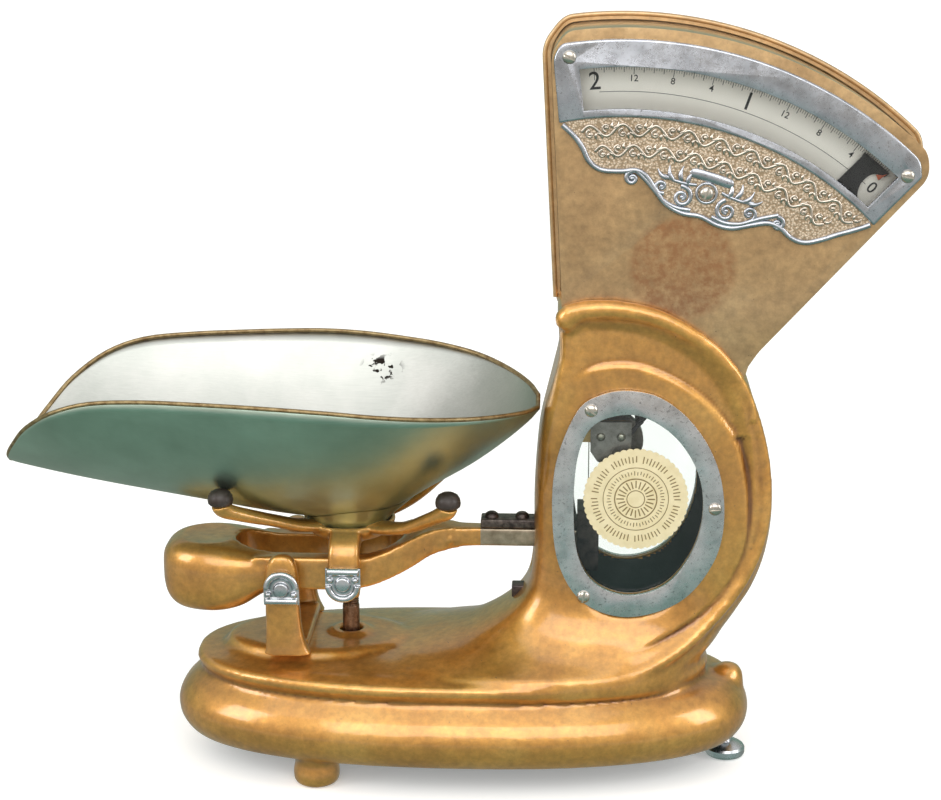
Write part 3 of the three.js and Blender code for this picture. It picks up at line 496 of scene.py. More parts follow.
def gold_paint(name, tone, stain=None):
    """Old bronze-gold enamel: mottled, with painted shade in hollows, rubbed pale on edges, with fine dark
    specks.
    """
    made, tree = material(name)
    colour = ramp(tree, noise(tree, 24, 6, 0.62), list(zip((0.28, 0.5, 0.74), tone)))
    fine = greys(tree, noise(tree, 210, 4, 0.65), (0.3, 0.78), (0.7, 1.14))
    colour = blend(tree, 1.0, colour, fine, "MULTIPLY")
    if stain:
        x, z, r = stain
        mark = near_spot(tree, (x, 0, z), r, (1, 0, 1))
        mottle = greys(tree, noise(tree, 170, 5, 0.7), (0.36, 0.2), (0.62, 0.95))
        colour = blend(tree, multiply(tree, mark, mottle), colour, (0.29, 0.13, 0.045))
    # painted shade darkens the hollows here; the paler sharp edges are the paint's real rubbing
    stops = [(0.0, (0.36, 0.27, 0.2)), (0.4, (1, 1, 1)), (1.0, (1.34, 1.36, 1.42))]
    worn = ramp(tree, creases(tree, 0.455, 0.57), stops)
    colour = blend(tree, 1.0, colour, worn, "MULTIPLY")
    chips = greys(tree, noise(tree, 560, 2, 0.5), (0.74, 0), (0.78, 0.8))
    colour = blend(tree, chips, colour, (0.13, 0.08, 0.045))
    rough = greys(tree, noise(tree, 60, 4, 0.6), (0.3, 0.33), (0.7, 0.47))
    coarse = bump(tree, noise(tree, 110, 4, 0.6), 0.3, 0.0007)
    grain = bump(tree, noise(tree, 1100, 3, 0.55), 0.22, 0.0002, Normal=coarse)
    coat = {"Coat Weight": 0.9, "Coat IOR": 1.65, "Coat Roughness": 0.14}
    return surface(made, colour, 0.78, rough, grain, **coat)


def nickel(name, base, pits, wave=0.0003):
    """Nickel plate: cloudy, a little dull, pitted where the plating has failed, with painted shade in its
    hollows.
    """
    made, tree = material(name)
    stops = [(0.35, [c * 0.8 for c in base]), (0.52, base), (0.7, [min(1, c * 1.14) for c in base])]
    colour = ramp(tree, noise(tree, 80, 5, 0.6), stops)
    spots = greys(tree, noise(tree, 650, 3, 0.6), (0.6, 0), (0.7, pits))
    colour = blend(tree, spots, colour, (0.15, 0.145, 0.15))
    # painted shade: hollows darkened to less than half
    hollows = greys(tree, creases(tree, 0.44, 0.5), (0, 0.45), (1, 1))
    colour = blend(tree, 1.0, colour, hollows, "MULTIPLY")
    rough = greys(tree, noise(tree, 130, 5, 0.7), (0.35, 0.2), (0.7, 0.36))
    return surface(made, colour, 1.0, rough, bump(tree, noise(tree, 240, 4, 0.6), 0.16, wave))


def metal(name, dark, light, rough, scale=120, strength=0.15):
    """Bare or blackened metal with cloudy colour and a fine grain."""
    made, tree = material(name)
    colour = ramp(tree, noise(tree, scale, 5, 0.65), [(0.35, dark), (0.68, light)])
    dull = greys(tree, noise(tree, scale * 2, 4, 0.6), (0.3, rough - 0.07), (0.7, rough + 0.09))
    return surface(made, colour, 0.95, dull, bump(tree, noise(tree, scale * 7, 3, 0.6), strength, 0.0003))


def scoop_metal(name, low, high, brushing, worn=None):
    """Tinned brass sheet, drawn along its length."""
    made, tree = material(name)
    middle = [(a + b) / 2 for a, b in zip(low, high)]
    colour = ramp(tree, noise(tree, 16, 5, 0.6), [(0.3, low), (0.52, middle), (0.72, high)])
    streaks = noise(tree, 55, 5, 0.7, stretch=(1, 20, 20))
    colour = blend(tree, brushing, colour, greys(tree, streaks, (0.3, 0.4), (0.7, 0.62)), "OVERLAY")
    if worn:
        flakes = greys(tree, noise(tree, 130, 3, 0.6), (0.52, 0), (0.55, 1))
        bare = multiply(tree, near_spot(tree, worn, 9, (0.75, 1, 1)), flakes)
        colour = blend(tree, bare, colour, (0.015, 0.012, 0.01))
    rough = greys(tree, streaks, (0.3, 0.3), (0.7, 0.44))
    return surface(made, colour, 1.0, rough, bump(tree, streaks, 0.07, 0.0003))


def pebbled():
    """Cast ground between the ornament: small pebbles with tan paint rubbed off them."""
    made, tree = material("pebbled_ground")
    place = add(tree, "TexCoord", {}, "Object")
    cells = add(tree, "TexVoronoi", {"Scale": 780, "Vector": place}, "Distance")
    height = greys(tree, cells, (0.0, 1), (0.75, 0))
    stops = [(0.1, (0.34, 0.25, 0.16)), (0.5, (0.58, 0.46, 0.34)), (0.95, (0.72, 0.62, 0.5))]
    return surface(made, ramp(tree, height, stops), 0.7, 0.5, bump(tree, height, 0.6, 0.0004))


def clear_glass():
    made, tree = material("clear_glass")
    see = add(tree, "BsdfTransparent", {"Color": (0.97, 0.985, 0.98)}, "BSDF")
    shine = add(tree, "BsdfGlossy", {"Roughness": 0.04}, "BSDF")
    facing = add(tree, "Fresnel", {"IOR": 1.45}, "Fac")
    mix = add(tree, "MixShader", {"Fac": facing, 1: see, 2: shine}, "Shader")
    tree.links.new(mix, tree.nodes["Material Output"].inputs["Surface"])
    tree.nodes.remove(tree.nodes["Principled BSDF"])
    return made


def plain(name, colour, rough, spread=0.06, scale=200, metallic=0.0, grain=0.1):
    """A mostly even surface with slight mottling and grain: card, ink, rubber, foil."""
    made, tree = material(name)
    stops = [(0.3, [max(0, c - spread) for c in colour]), (0.7, [min(1, c + spread) for c in colour])]
    tone = ramp(tree, noise(tree, scale, 5, 0.6), stops)
    dull = greys(tree, noise(tree, scale * 1.7, 3), (0.3, rough - 0.05), (0.7, rough + 0.06))
    return surface(made, tone, metallic, dull, bump(tree, noise(tree, scale * 6, 3), grain, 0.0002))


GOLD = gold_paint("gold_paint", [(0.45, 0.2, 0.036), (0.59, 0.288, 0.056), (0.69, 0.375, 0.09)])
FAN_TONE = [(0.36, 0.22, 0.095), (0.45, 0.285, 0.128), (0.54, 0.36, 0.175)]
GOLD_FAN = gold_paint("gold_fan", FAN_TONE, (131.3, 315.0, 30.0))
GOLD_COVER = gold_paint("gold_cover", FAN_TONE)
NICKEL = nickel("nickel", (0.68, 0.68, 0.7), 0.6)
BEZEL = nickel("bezel_nickel", (0.5, 0.52, 0.57), 0.75)
SCREW = nickel("screw_nickel", (0.6, 0.56, 0.5), 0.5)
CHROME = nickel("bright_nickel", (0.62, 0.64, 0.68), 0.0, 0.0001)
ORNAMENT = nickel("ornament_nickel", (0.6, 0.53, 0.45), 0.4)
STEEL = metal("steel", (0.16, 0.15, 0.14), (0.42, 0.4, 0.38), 0.4)
DARK = metal("dark_steel", (0.035, 0.03, 0.035), (0.16, 0.13, 0.12), 0.45)
RUSTY = metal("rusty_steel", (0.05, 0.04, 0.04), (0.24, 0.2, 0.18), 0.45, 260, 0.5)
ROD = metal("browned_steel", (0.1, 0.055, 0.03), (0.34, 0.23, 0.16), 0.42, 240, 0.3)
RIVET = metal("rivet", (0.3, 0.3, 0.24), (0.5, 0.5, 0.42), 0.4)
BRASS = metal("dull_brass", (0.36, 0.22, 0.08), (0.62, 0.44, 0.19), 0.36)
RIM_BRASS = metal("rim_brass", (0.2, 0.13, 0.06), (0.42, 0.32, 0.17), 0.4, 220, 0.25)
BARE = metal("bare_iron", (0.3, 0.24, 0.17), (0.55, 0.47, 0.36), 0.42)
SCOOP = scoop_metal("scoop_metal", (0.4, 0.42, 0.39), (0.54, 0.54, 0.51), 0.35, (-53.0, 87.0, 224.0))
# the sheet's tone tinted sage green: a painted reflection of the green room
SCOOP_OUTSIDE_REFLECTION = scoop_metal("scoop_outside_painted_reflection", (0.4, 0.5, 0.42), (0.56, 0.7, 0.6), 0.15)
GLASS = clear_glass()
CARD = plain("dial_card", (0.97, 0.91, 0.85), 0.7, 0.015, 60)
INK = plain("dial_ink", (0.012, 0.012, 0.016), 0.6, 0.004)
# painted shade for the casting's inside: dark green-black where shade falls
INSIDE_SHADE = plain("painted_inside_shade", (0.03, 0.045, 0.042), 0.6, 0.012, 90, 0.4, 0.4)
PEBBLE = pebbled()
TIP_RED = plain("tip_red", (0.5, 0.09, 0.03), 0.5, 0.03)
PAD = plain("arm_pad", (0.03, 0.02, 0.016), 0.42, 0.012)
FOIL = plain("gold_foil", (0.93, 0.8, 0.52), 0.34, 0.06, 150, 0.6, 0.2)
FOIL_INK = plain("foil_ink", (0.2, 0.14, 0.05), 0.6, 0.02, 150, 0.3)


def put(piece, made, body, slot, *nodes):
    """A fine piece on its body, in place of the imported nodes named; with none named it is an extra."""
    piece.data.materials.clear()
    piece.data.materials.append(made)
    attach(piece, body)
    if nodes:
        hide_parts(*nodes)
    return piece


def paint(piece, made, chosen):
    """A second material on the faces that a test picks."""
    piece.data.materials.append(made)
    for face in piece.data.polygons:
        face.material_index = int(chosen(face))


# ---- Base and column
# The roll that curls over the round window and runs down to the deck's edge:
# x, z, distance from the middle plane
ROLL = [
    (64.6, 287.6, 33), (78, 290.6, 33.5), (95.5, 290.8, 33.5), (118.5, 286, 33.5), (141.8, 273.4, 33),
    (156.5, 260.4, 32), (166, 247.6, 30), (173, 232, 27.2), (179.6, 211.7, 25.2), (183.6, 190, 25.2),
    (184, 165.8, 26.6), (178.7, 140.9, 28.6), (167.5, 118.7, 30.8), (150, 97.5, 35), (133, 84, 42),
    (112, 74, 50.5), (88, 68, 59), (62, 66.5, 63.5),
]
ROLL_R = [6.2, 6.0, 5.6, 5.0, 4.4, 4.1, 3.9, 3.7, 3.6, 3.6, 3.6, 3.6, 3.6, 3.6, 3.4, 3.2, 2.6, 1.4]
# The column's top edge, which the roll covers, and the base's hollow as heights and insets
NECK = [(57, 290), (70, 292), (88, 291.5), (107, 288), (126, 281), (142, 271.5), (156, 259), (166, 247)]
BASE_HOLLOW = [(5, 15), (24, 11), (35, 7), (44, 9), (50, 16), (54.5, 28)]
CAST_VOXEL = 1.6
COVE_DEEP, COVE_SHALLOW = 4.2, 2.2  # below and above the ring's shoulder
FACE_LEAST, FACE_MOST = 30.9, 31.4  # how thin the cove may leave the column's top, from the middle plane
COLUMN_TABLE = np.array(COLUMN)
# The raised collar round the ring, seen from the front
COLLAR = [
    (58, 215), (66, 240), (77.8, 252.9), (97.4, 256.7), (113.6, 253.9), (131.1, 245.7), (145.8, 235.1),
    (156.6, 223.2), (164, 211.2), (168.5, 196), (171.5, 177), (171.3, 152.5), (166, 133.7), (155.3, 115.8),
    (140.9, 102.9), (123.2, 93), (105.4, 88.2), (80, 92), (58, 110), (48, 150), (48, 190),
]


def base_ring(z, inset, count=200):
    return oval(BASE_X, BASE_LONG - inset, BASE_WIDE - inset, z, BASE_POWER, count)


def deck_ring(z, share, edge=0.0):
    return oval(DECK_X, DECK_LONG * share - edge, DECK_WIDE * share - edge, z, BASE_POWER, 200)


def column_solid(name, wall, rows):
    table = spline(rows, 5)
    rings = [oval((l + r) / 2, (r - l) / 2 - wall, h - wall, z, p, 120) for z, l, r, h, p in table]
    return loft(name, rings)


def base_and_deck():
    moulding = [(18, 9), (20, 6.5), (23, 4), (28, 1.2), (33, 0.1), (38, 0.1), (43, 1.7), (48, 5), (52, 9)]
    edge = [(58, 6), (60.5, 3.4), (62.5, 1.2), (64.5, 0.2), (66.5, 0.2), (68.2, 1.4), (69.2, 3.4), (69.5, 6)]
    rings = [base_ring(z, inset) for z, inset in [*moulding, (55.5, 13)]]
    rings += [deck_ring(z, 1, inset) for z, inset in [*edge, (69.4, 9)]]
    for share in (0.88, 0.75, 0.6, 0.45, 0.3, 0.15, 0.05):
        rings.append(deck_ring(DECK_Z + DECK_CROWN * (1 - share**2), share))
    return loft("base", rings)


def casting_bosses():
    plinth = [(57.5, 68), (57, 73), (56, 76), (54, 77.6), (50, PLINTH_TOP)]
    yield loft("plinth", [oval(-86, a, a - 20, z, 2, 96) for a, z in plinth])
    yield turned("collar", [(0, 66), (15.5, 66), (14, 76), (13, 79), (10.5, 81), (0, 81)], LOAD_X)
    yield turned("boss", [(0, 30), (10.5, 30), (10.3, 48), (9.6, 55), (7, 59.5), (3, 61), (0, 61.2)], LEVEL_X)


def left_feet():
    foot = [(0, 0), (10.5, 0), (12.6, 0.8), (13.8, 3), (14.2, 6.5), (13.9, 10), (13, 13.5), (13.2, 17)]
    foot += [(14.8, 20.5), (17.5, 23.5), (19, 26), (12, 36), (0, 36)]
    return [turned("foot", foot, FOOT_X, side * FOOT_Y) for side in (-1, 1)]


def roll(side):
    """The outer roll on one face, with the nub that it starts from."""
    path = spline([(x, side * out, z) for x, z, out in ROLL], 8)
    nub = [(0.5, -7), (4.6, -5.6), (6.8, -2.4), (7.2, 0), (6.6, 2.8), (4.2, 5.8), (0.5, 7)]
    ball = turned("nub", [(r, side * 33 + h * 0.9) for r, h in nub], 65.2, 285, 32, "y")
    return [tube("roll", path, spread(ROLL_R, len(path)), 16), ball]


def base_casting():
    made = join("solids", [base_and_deck(), column_solid("column", 0, COLUMN), *casting_bosses()])
    above = [(20, 290), *spline(NECK, 6), (200, 248), (200, 330), (20, 330)]
    made = cut(remesh(made, 2), [slab("above", above, -60, 60)])
    made = remesh(join("base_casting_fine", [made, *roll(-1), *roll(1)]), CAST_VOXEL)
    cuts = [loft("hollow", [base_ring(z, inset, 120) for z, inset in BASE_HOLLOW])]
    cuts.append(column_solid("room", 5, COLUMN_ROOM))
    cuts.append(slab("opening", spline(RING_INNER, 12, closed=True), -70, 70))
    cuts.append(slab("pocket", fan(2.4, HEAD_R, 231), -HEAD_HALF - GAP, HEAD_HALF + GAP))
    for side in (-1, 1):
        seat = grown(spline(RING_OUTER, 12, closed=True), 1.2)
        cuts.append(slab("seat", seat, *span(side, RING_SEAT, 70)))
    cuts.append(box("nose_slot", 30, 66, -8.5, 8.5, 121, 159))
    cuts.append(rod("rod_hole", "z", 50, 90, LOAD_X, 0, 7))
    made = join("base_casting_fine", [cut(made, cuts), *left_feet()])
    made = soften(remesh(made, CAST_VOXEL), 4)
    sculpt_column(made)
    return shade_smooth(made)


def points_of(mesh, what="co"):
    out = np.empty(len(mesh.vertices) * 3)
    mesh.vertices.foreach_get(what, out)
    return out.reshape(-1, 3)


def sculpt_column(piece):
    """A cove between the ring's collar and the outer roll, on both faces of the column."""
    mesh = piece.data
    co, normal = points_of(mesh) / MM, points_of(mesh, "normal")
    facing = ease(np.abs(normal[:, 1]), 0.5, 0.8) * (np.sign(normal[:, 1]) == np.sign(co[:, 1]))
    facing *= ease(np.abs(co[:, 1]), 29.5, 31.5) * ease(co[:, 2], 80, 94)
    xz = co[:, [0, 2]]
    collar = spline(COLLAR, 6, closed=True)
    outline = spline([(x, z) for x, z, _ in ROLL], 6)
    low = co[:, 2] < 150
    reach = ease(co[:, 0], np.where(low, 100, 68), np.where(low, 135, 88))
    from_collar = distance_to(np.vstack([collar, collar[:1]]), xz)
    from_roll = distance_to(outline, xz)
    depth = np.where(co[:, 2] > 215, COVE_SHALLOW, COVE_DEEP)
    depth = depth * ease(from_collar, 0, 3.2) * ease(from_roll, 4, 13)
    before = np.abs(co[:, 1])
    after = before - facing * reach * depth * ~inside(collar, xz)
    floor = np.where(co[:, 2] > 224, np.clip(before, FACE_LEAST, FACE_MOST), 0)
    co[:, 1] = np.sign(co[:, 1]) * np.where(facing * reach > 0, np.maximum(after, floor), before)
    mesh.vertices.foreach_set("co", (co * MM).ravel())
    mesh.update()


def is_inside(face):
    """Whether a face of the casting lies inside the column or under the base."""
    x, y, z = face.center / MM
    left, right, half, power = (np.interp(z, COLUMN_TABLE[:, 0], COLUMN_TABLE[:, k]) for k in (1, 2, 3, 4))
    across = abs((x - (left + right) / 2) / ((right - left) / 2 - 3.4)) ** power
    room = across + abs(y / (half - 3.4)) ** power < 1 and abs(y) < 29.9 and 78 < z < 262
    heights, insets = zip(*BASE_HOLLOW)
    inset = np.interp(z, heights, insets) - 1.6
    along = abs((x - BASE_X) / (BASE_LONG - inset)) ** BASE_POWER
    under = along + abs(y / (BASE_WIDE - inset)) ** BASE_POWER < 1 and z < 56
    foot = math.hypot(x - FOOT_X, abs(y) - FOOT_Y) < 17
    return room or (under and not foot)


# ---- Dial housing
def fan(inset, r=HEAD_R, bottom=232.0):
    """The housing's outline: a near-upright left side, the top arc about the pivot, a sloping right side."""
    left = [(62 + inset, bottom), (62 + inset, 296), (54.5 + inset, 436 - inset * 0.3)]
    left.append(polar(r - inset, -7.7))
    top = arc(r - inset, -5.4, 41.6, 56)
    corner = [polar(r - inset, 43.9), (268.5 - inset * 0.7, 368 + inset * 0.3)]
    slope = [(176 - inset, 265.5 + inset * 0.2), (170.5 - inset, 257)]
    outline = left + top + corner + slope + [(168 - inset, 248), (158 - inset, 240), (150 - inset, bottom)]
    last = len(left) + len(top)
    return rounded(outline, {1: 6, 2: 7.2, 3: 7.2, last: 6.4, last + 1: 6.4, last + 2: 3}, 8)


def window(grow):
    top = arc(WINDOW_OUT + grow, WINDOW_FROM - grow * 0.25, WINDOW_TO + grow * 0.25)
    return top + arc(WINDOW_IN - grow, WINDOW_TO + grow * 0.3, WINDOW_FROM - grow * 0.3)


BEZEL_SCREWS = {"left": polar(233, -7.7), "right": polar(229.8, 44), "centre": polar(161.7, 17)}


def bezel_holes():
    return [rod("hole", "y", -40, -20, x, z, 2.3, 16) for x, z in BEZEL_SCREWS.values()]


def dial_housing():
    made = slab("dial_housing_fine", fan(0), -HEAD_HALF, HOUSING_BACK)
    cuts = [slab("inside", fan(3, HEAD_R, 225), -HEAD_HALF + 3, HOUSING_BACK + 1)]
    cuts.append(slab("pane", window(2), -HEAD_HALF - 1, -HEAD_HALF + 4))
    return bevel(cut(made, [*cuts, *bezel_holes()]), 1.7, 4)


def back_cover():
    lid = slab("lid", fan(-0.2), HOUSING_BACK + GAP, HOUSING_BACK + 3.5)
    flange = slab("flange", fan(-4), 18, HOUSING_BACK + 3.5)
    bore = slab("bore", fan(-0.8), 10, HOUSING_BACK + GAP)
    cuts = [bore, box("neck", 30, 200, 0, 24, 200, 289), box("foot", 160, 215, 0, 40, 200, 305)]
    flange = cut(cut(flange, cuts), [box("skirt", 30, 215, 24, 40, 200, 289)])
    lid = combine(lid, [join("flange", [flange])], "UNION")
    lid = bevel(cut(lid, [slab("pane", window(2), 10, 40)]), 0.9, 3)
    r = HEAD_R + 4
    top = [polar(r, -7.8), *arc(r, -5.4, 41.6, 50), polar(r, 43.9)]
    edge = [(58.4, 287), (50.3, 437), *top, (271.8, 367), (216, 305.5)]
    edge = rounded(edge, {1: 7.4, 2: 7.4, 54: 6.6, 55: 6.6}, 8)
    bead = shade_smooth(raised("bead", edge, 1.5, 18.6, 12))
    return shade_smooth(join("dial_back_cover_fine", [lid, bead]), 40)


# ---- Dial bezel
# The ornament plate's lower edge, as angle and radius about the pivot
PLATE_EDGE = [
    (-10.2, 196), (-8.6, 189), (-7.4, 182), (-6.4, 173.5), (-4.2, 168), (-0.4, 166.8), (2.4, 167.6),
    (4.4, 165), (6.4, 158.5), (9.2, 150.5), (13.2, 147), (17.3, 148), (21.4, 146.6), (24.8, 148.4),
    (28, 154.5), (30.8, 160.4), (33.4, 162), (36.4, 161), (39.2, 163.6), (41.2, 170.5), (42.8, 179),
    (44.6, 189), (45.6, 196),
]
FACE_Y = -HEAD_HALF - 3.3


def raised(name, path, radius, y, sides=8, flat=1.0):
    """A rounded ridge that follows an X-Z path on a face."""
    return tube(name, [(x, y, z) for x, z in path], radius, sides, flat)


def spiral(centre, start, turns, r_from, r_to, steps=30):
    """A curl about a point, from one radius to another; angles in degrees, turns positive anticlockwise."""
    t = np.linspace(0, 1, steps)
    angle = np.radians(start) + turns * 2 * math.pi * t
    r = r_from + (r_to - r_from) * t**0.8
    return [(centre[0] + q * math.cos(a), centre[1] + q * math.sin(a)) for q, a in zip(r, angle)]


def scroll(name, degrees, r, size, start, turns, y, thick=1.25):
    """A curl that thins towards its eye, with a round bud in the middle."""
    centre = polar(r, degrees)
    path = spiral(centre, start, turns, size, size * 0.2)
    radii = np.linspace(thick, thick * 0.62, len(path))
    bud = turned("bud", [(0.1, y - 1.3), (0.9, y - 1.0), (1.35, y), (1.35, y + 0.5)], *centre, 12, "y")
    return [raised(name, path, radii, y, 10), bud]


def leaf(start, end, width, y, bow=0.0):
    """A pointed, slightly bent leaf, widest a third of the way along."""
    a, b = np.array(start, float), np.array(end, float)
    t = np.linspace(0, 1, 14)
    across = np.array([b[1] - a[1], a[0] - b[0]])
    path = [a + (b - a) * u + across * bow * math.sin(math.pi * u) for u in t]
    return raised("leaf", path, 0.3 + width * np.sin(math.pi * t**0.7) ** 1.2, y)


def vine(r, start, end, waves, size, y):
    """A band of foliage along an arc: a waving stem with a curl and two leaves in each bend."""
    t = np.linspace(0, 1, waves * 14)
    swing = np.sin(t * waves * math.pi)
    stem = [polar(r + size * 0.62 * q, start + (end - start) * u) for u, q in zip(t, swing)]
    pieces = [raised("stem", stem, 1.0, y)]
    step = (end - start) / waves
    for k in range(waves):
        at, up = start + step * (k + 0.5), 1 - 2 * (k % 2)
        pieces += scroll("curl", at, r - up * size * 0.32, size * 0.5, 90 * up - at, 1.1 * up, y, 0.95)
        root = polar(r - up * size * 0.2, at + step * 0.42)
        for lean, bow in ((0.12, 0.2), (0.46, -0.2)):
            pieces.append(leaf(root, polar(r - up * size * 0.95, at + step * (0.3 + lean)), 0.8, y, bow * up))
    return pieces


def crest(y):
    """Scrolls and leaves round the middle screw."""
    pieces = [raised("eye", spiral(BEZEL_SCREWS["centre"], 0, 1, 5.6, 5.6, 40), 0.9, y)]
    scrolls = [(4.9, 156, 6.4, 95, 1.5, 1.5), (9.4, 160, 4.2, -70, 1.3, 1.3), (15.4, 163, 4.2, 90, -1.3, 1.5)]
    stem = [(2.4, 149.8), (5.6, 149.4), (8.6, 152.2), (10.6, 157), (12.4, 161.8), (14.6, 167.4)]
    leaves = [(4.2, 163, 3.6, 171.6), (5.4, 164, 5.8, 173.4), (6.8, 163.6, 8.4, 172.4)]
    leaves.append((8.0, 165, 10.6, 169.6))
    frond = [(2.6, 164.6), (4.6, 164), (7, 164.4), (9.2, 166.4)]
    for hand in (-1, 1):
        at = lambda degrees, r: polar(r, 17.2 + hand * degrees)
        for degrees, r, size, start, turns, thick in scrolls:
            pieces += scroll("scroll", 17.2 + hand * degrees, r, size, start, turns * hand, y, thick)
        pieces.append(raised("stem", spline([at(*q) for q in stem], 6), 1.5, y, 10))
        for a0, r0, a1, r1 in leaves:
            pieces.append(leaf(at(a0, r0), at(a1, r1), 1.25, y, 0.16 * hand))
        pieces.append(raised("frond", spline([at(*q) for q in frond], 5), 1.1, y))
    u = np.linspace(-1, 1, 25)
    radii = 0.1 + 1.1 * np.sqrt(np.clip(1 - np.abs(u) ** 8, 0, 1))
    pieces.append(raised("cartouche", [polar(171, 17.1 + 4.4 * q) for q in u], radii, y, 16, 2.5))
    return pieces


def dial_bezel():
    left, right = [polar(197, -10.7), polar(234, -9.9)], [polar(235, 45.6), polar(197, 46.1)]
    top = [polar(BEZEL_R, -8.6), *arc(BEZEL_R, -6.6, 41.8, 56), polar(BEZEL_R, 43.8)]
    outline = rounded([*left, *top, *right, *arc(197.2, 45.4, -10.2, 60)], {1: 3.6, 2: 3.6, 59: 4, 60: 4})
    holes = bezel_holes()
    made = bevel(slab("bezel_frame", outline, FACE_Y - 0.5, -HEAD_HALF + 3), 2.8, 5)
    behind = box("behind", 0, 400, -HEAD_HALF, -HEAD_HALF + 9, 150, 520)
    made = cut(made, [behind, slab("pane", window(0), -40, -20), *holes[:2]])
    remove(holes[2:])
    path = spline([polar(r, degrees) for degrees, r in PLATE_EDGE], 6)
    border = raised("border", path, 1.7, FACE_Y + 1.1, 12)
    return shade_smooth(join("dial_bezel_fine", [bevel(made, 0.9, 3), border, *crest(FACE_Y + 0.9)]), 50)


def bezel_ground():
    """The plate's pebbled ground below the window, its paint worn tan."""
    low = [polar(r, degrees) for degrees, r in PLATE_EDGE]
    outline = [tuple(q) for q in spline(low, 6)] + arc(199, 45.6, -10, 60)
    made = slab("bezel_ground", outline[::-1], FACE_Y + 1.0, -HEAD_HALF)
    x, z = BEZEL_SCREWS["centre"]
    return shade_smooth(cut(made, [rod("hole", "y", -40, -20, x, z, 2.3, 16)]), 30)


def bezel_vines():
    """Two bands of vine, where a maker's lettering would be."""
    y = FACE_Y + 0.9
    pieces = vine(190.2, -7.2, 43.2, 18, 5.2, y) + vine(178.6, -5.2, 39.6, 16, 5.0, y)
    return shade_smooth(join("bezel_vines", pieces))


def rear_bezel():
    made = slab("rear_dial_bezel_fine", window(9), HOUSING_BACK + 3.8, HOUSING_BACK + 6.3)
    return bevel(cut(made, [slab("pane", window(0), 10, 50)]), 1.0, 3)


def slotted_screw(name, x, z, y, side, turn):
    """A domed screw head with its slot turned by some degrees."""
    dome = [(0.05, -0.4), (3.9, -0.4), (3.9, 0.25), (3.627, 0.9), (2.808, 1.55), (1.56, 1.95), (0.05, 2)]
    slot = swung([(-0.55, -6), (-0.55, 6), (0.55, 6), (0.55, -6)], (x, z), math.radians(turn))
    cutter = slab("slot", slot, *span(side, y + 1, y + 4))
    return shade_smooth(cut(knob(name, dome, x, z, y, side, 32), [cutter]), 35)


# ---- Dial faces
def digits(text, size, r, degrees, side, y):
    """Figures that stand upright along the dial, on the card of one face."""
    curve = bpy.data.curves.new("digits", "FONT")
    curve.body = text
    curve.align_x, curve.align_y = "CENTER", "CENTER"
    curve.size = size * MM
    curve.extrude = 0.08 * MM
    curve.offset = 0.05 * MM
    shape = placed("digits", curve)
    mesh = bpy.data.meshes.new_from_object(shape.evaluated_get(bpy.context.evaluated_depsgraph_get()))
    x, z = polar(r, degrees)
    turn = Matrix.Rotation(math.radians(degrees), 4, "Y")
    if side > 0:
        turn = turn @ Matrix.Rotation(math.pi, 4, "Z")
    upright = Matrix.Rotation(math.pi / 2, 4, "X")
    mesh.transform(Matrix.Translation((x * MM, y * MM, z * MM)) @ turn @ upright)
    bpy.data.objects.remove(shape)
    bpy.data.curves.remove(curve)
    return placed("digits", mesh)


def dial_marks(name, side):
    """A tick for every quarter ounce, a line and figures, printed on one face's card."""
    y0, y1 = span(side, CARD_Y, CARD_Y + INK_T)
    pieces = []
    for quarter in range(4 * OUNCES + 1):
        long = next(size for every, size in TICKS if quarter % every == 0)
        half = (0.34 if quarter % 4 == 0 else 0.22) / 2
        bar = spoke(DIAL_ZERO - quarter / 4 * OUNCE, 224.5 - long, 225.5, half)
        pieces.append(slab("tick", bar, y0, y1))
    pieces.append(slab("line", arc(210.4, -3.8, 41.2, 60) + arc(210.1, 41.2, -3.8, 60), y0, y1))
    for step, text in enumerate(("0", "4", "8", "12", "1", "4", "8", "12", "2")):
        big = step % 4 == 0
        size = 14.5 if big and step else 9.5 if big else 5.2
        r = (216.2 if step else 211) if big else 217.6
        pieces.append(digits(text, size, r, DIAL_ZERO - step * 4 * OUNCE, side, side * (CARD_Y + 0.08)))
    return join(name, pieces)


def pointer():
    """A needle and a curved vane behind each glass, joined by their hub and a bridge."""
    bow = spline([(42.4, 220.2), (41.3, 218.6), (40.6, 215.6), (40.4, 209.5), (41.0, 204), (42.0, 200.2)], 5)
    tail = [polar(r, degrees) for degrees, r in bow] + [polar(199.4, 41.6), polar(199.4, 37.2)]
    pieces = []
    for side in (-1, 1):
        thin = span(side, 20.1, 20.9)
        pieces.append(rod("hub", "y", *span(side, 4.6, 21), *PIVOT, 6, 32))
        pieces.append(slab("needle", spoke(ZERO_ANGLE - 1.2, 3, 203, 1.2), *thin))
        pieces.append(slab("vane", arc(223.6, 37.9, 42.6, 8) + tail, *thin))
    corners = ((18, -5), (18, 3), (22, 3), (22, -5))
    bridge = [polar(r, ZERO_ANGLE + degrees) for r, degrees in corners]
    pieces.append(slab("bridge", bridge, -20.5, 20.5))
    return shade_smooth(join("pointer_fine", pieces), 30)


def pointer_tips():
    outline = [polar(222.6, 42.35), polar(216.6, 42.0), polar(218.2, 41.2), polar(220.4, 42.0)]
    return join("pointer_tips", [slab("tip", outline, *span(side, 20.95, 21.4)) for side in (-1, 1)])


# ---- Round window
def window_ring(name, side):
    outer, inner = spline(RING_OUTER, 12, closed=True), spline(RING_INNER, 12, closed=True)
    y0, y1 = span(side, RING_SEAT + GAP, RING_FACE)
    return bevel(cut(slab(name, outer, y0, y1), [slab("hole", inner, y0 - 5, y1 + 5)]), 1.25, 4)


def seal_circle(radius, count=96):
    turns = np.linspace(0, 2 * math.pi, count, endpoint=False)
    radii = np.broadcast_to(radius, count)
    return [(SEAL[0] + r * math.cos(t), SEAL[1] + r * math.sin(t)) for t, r in zip(turns, radii)]


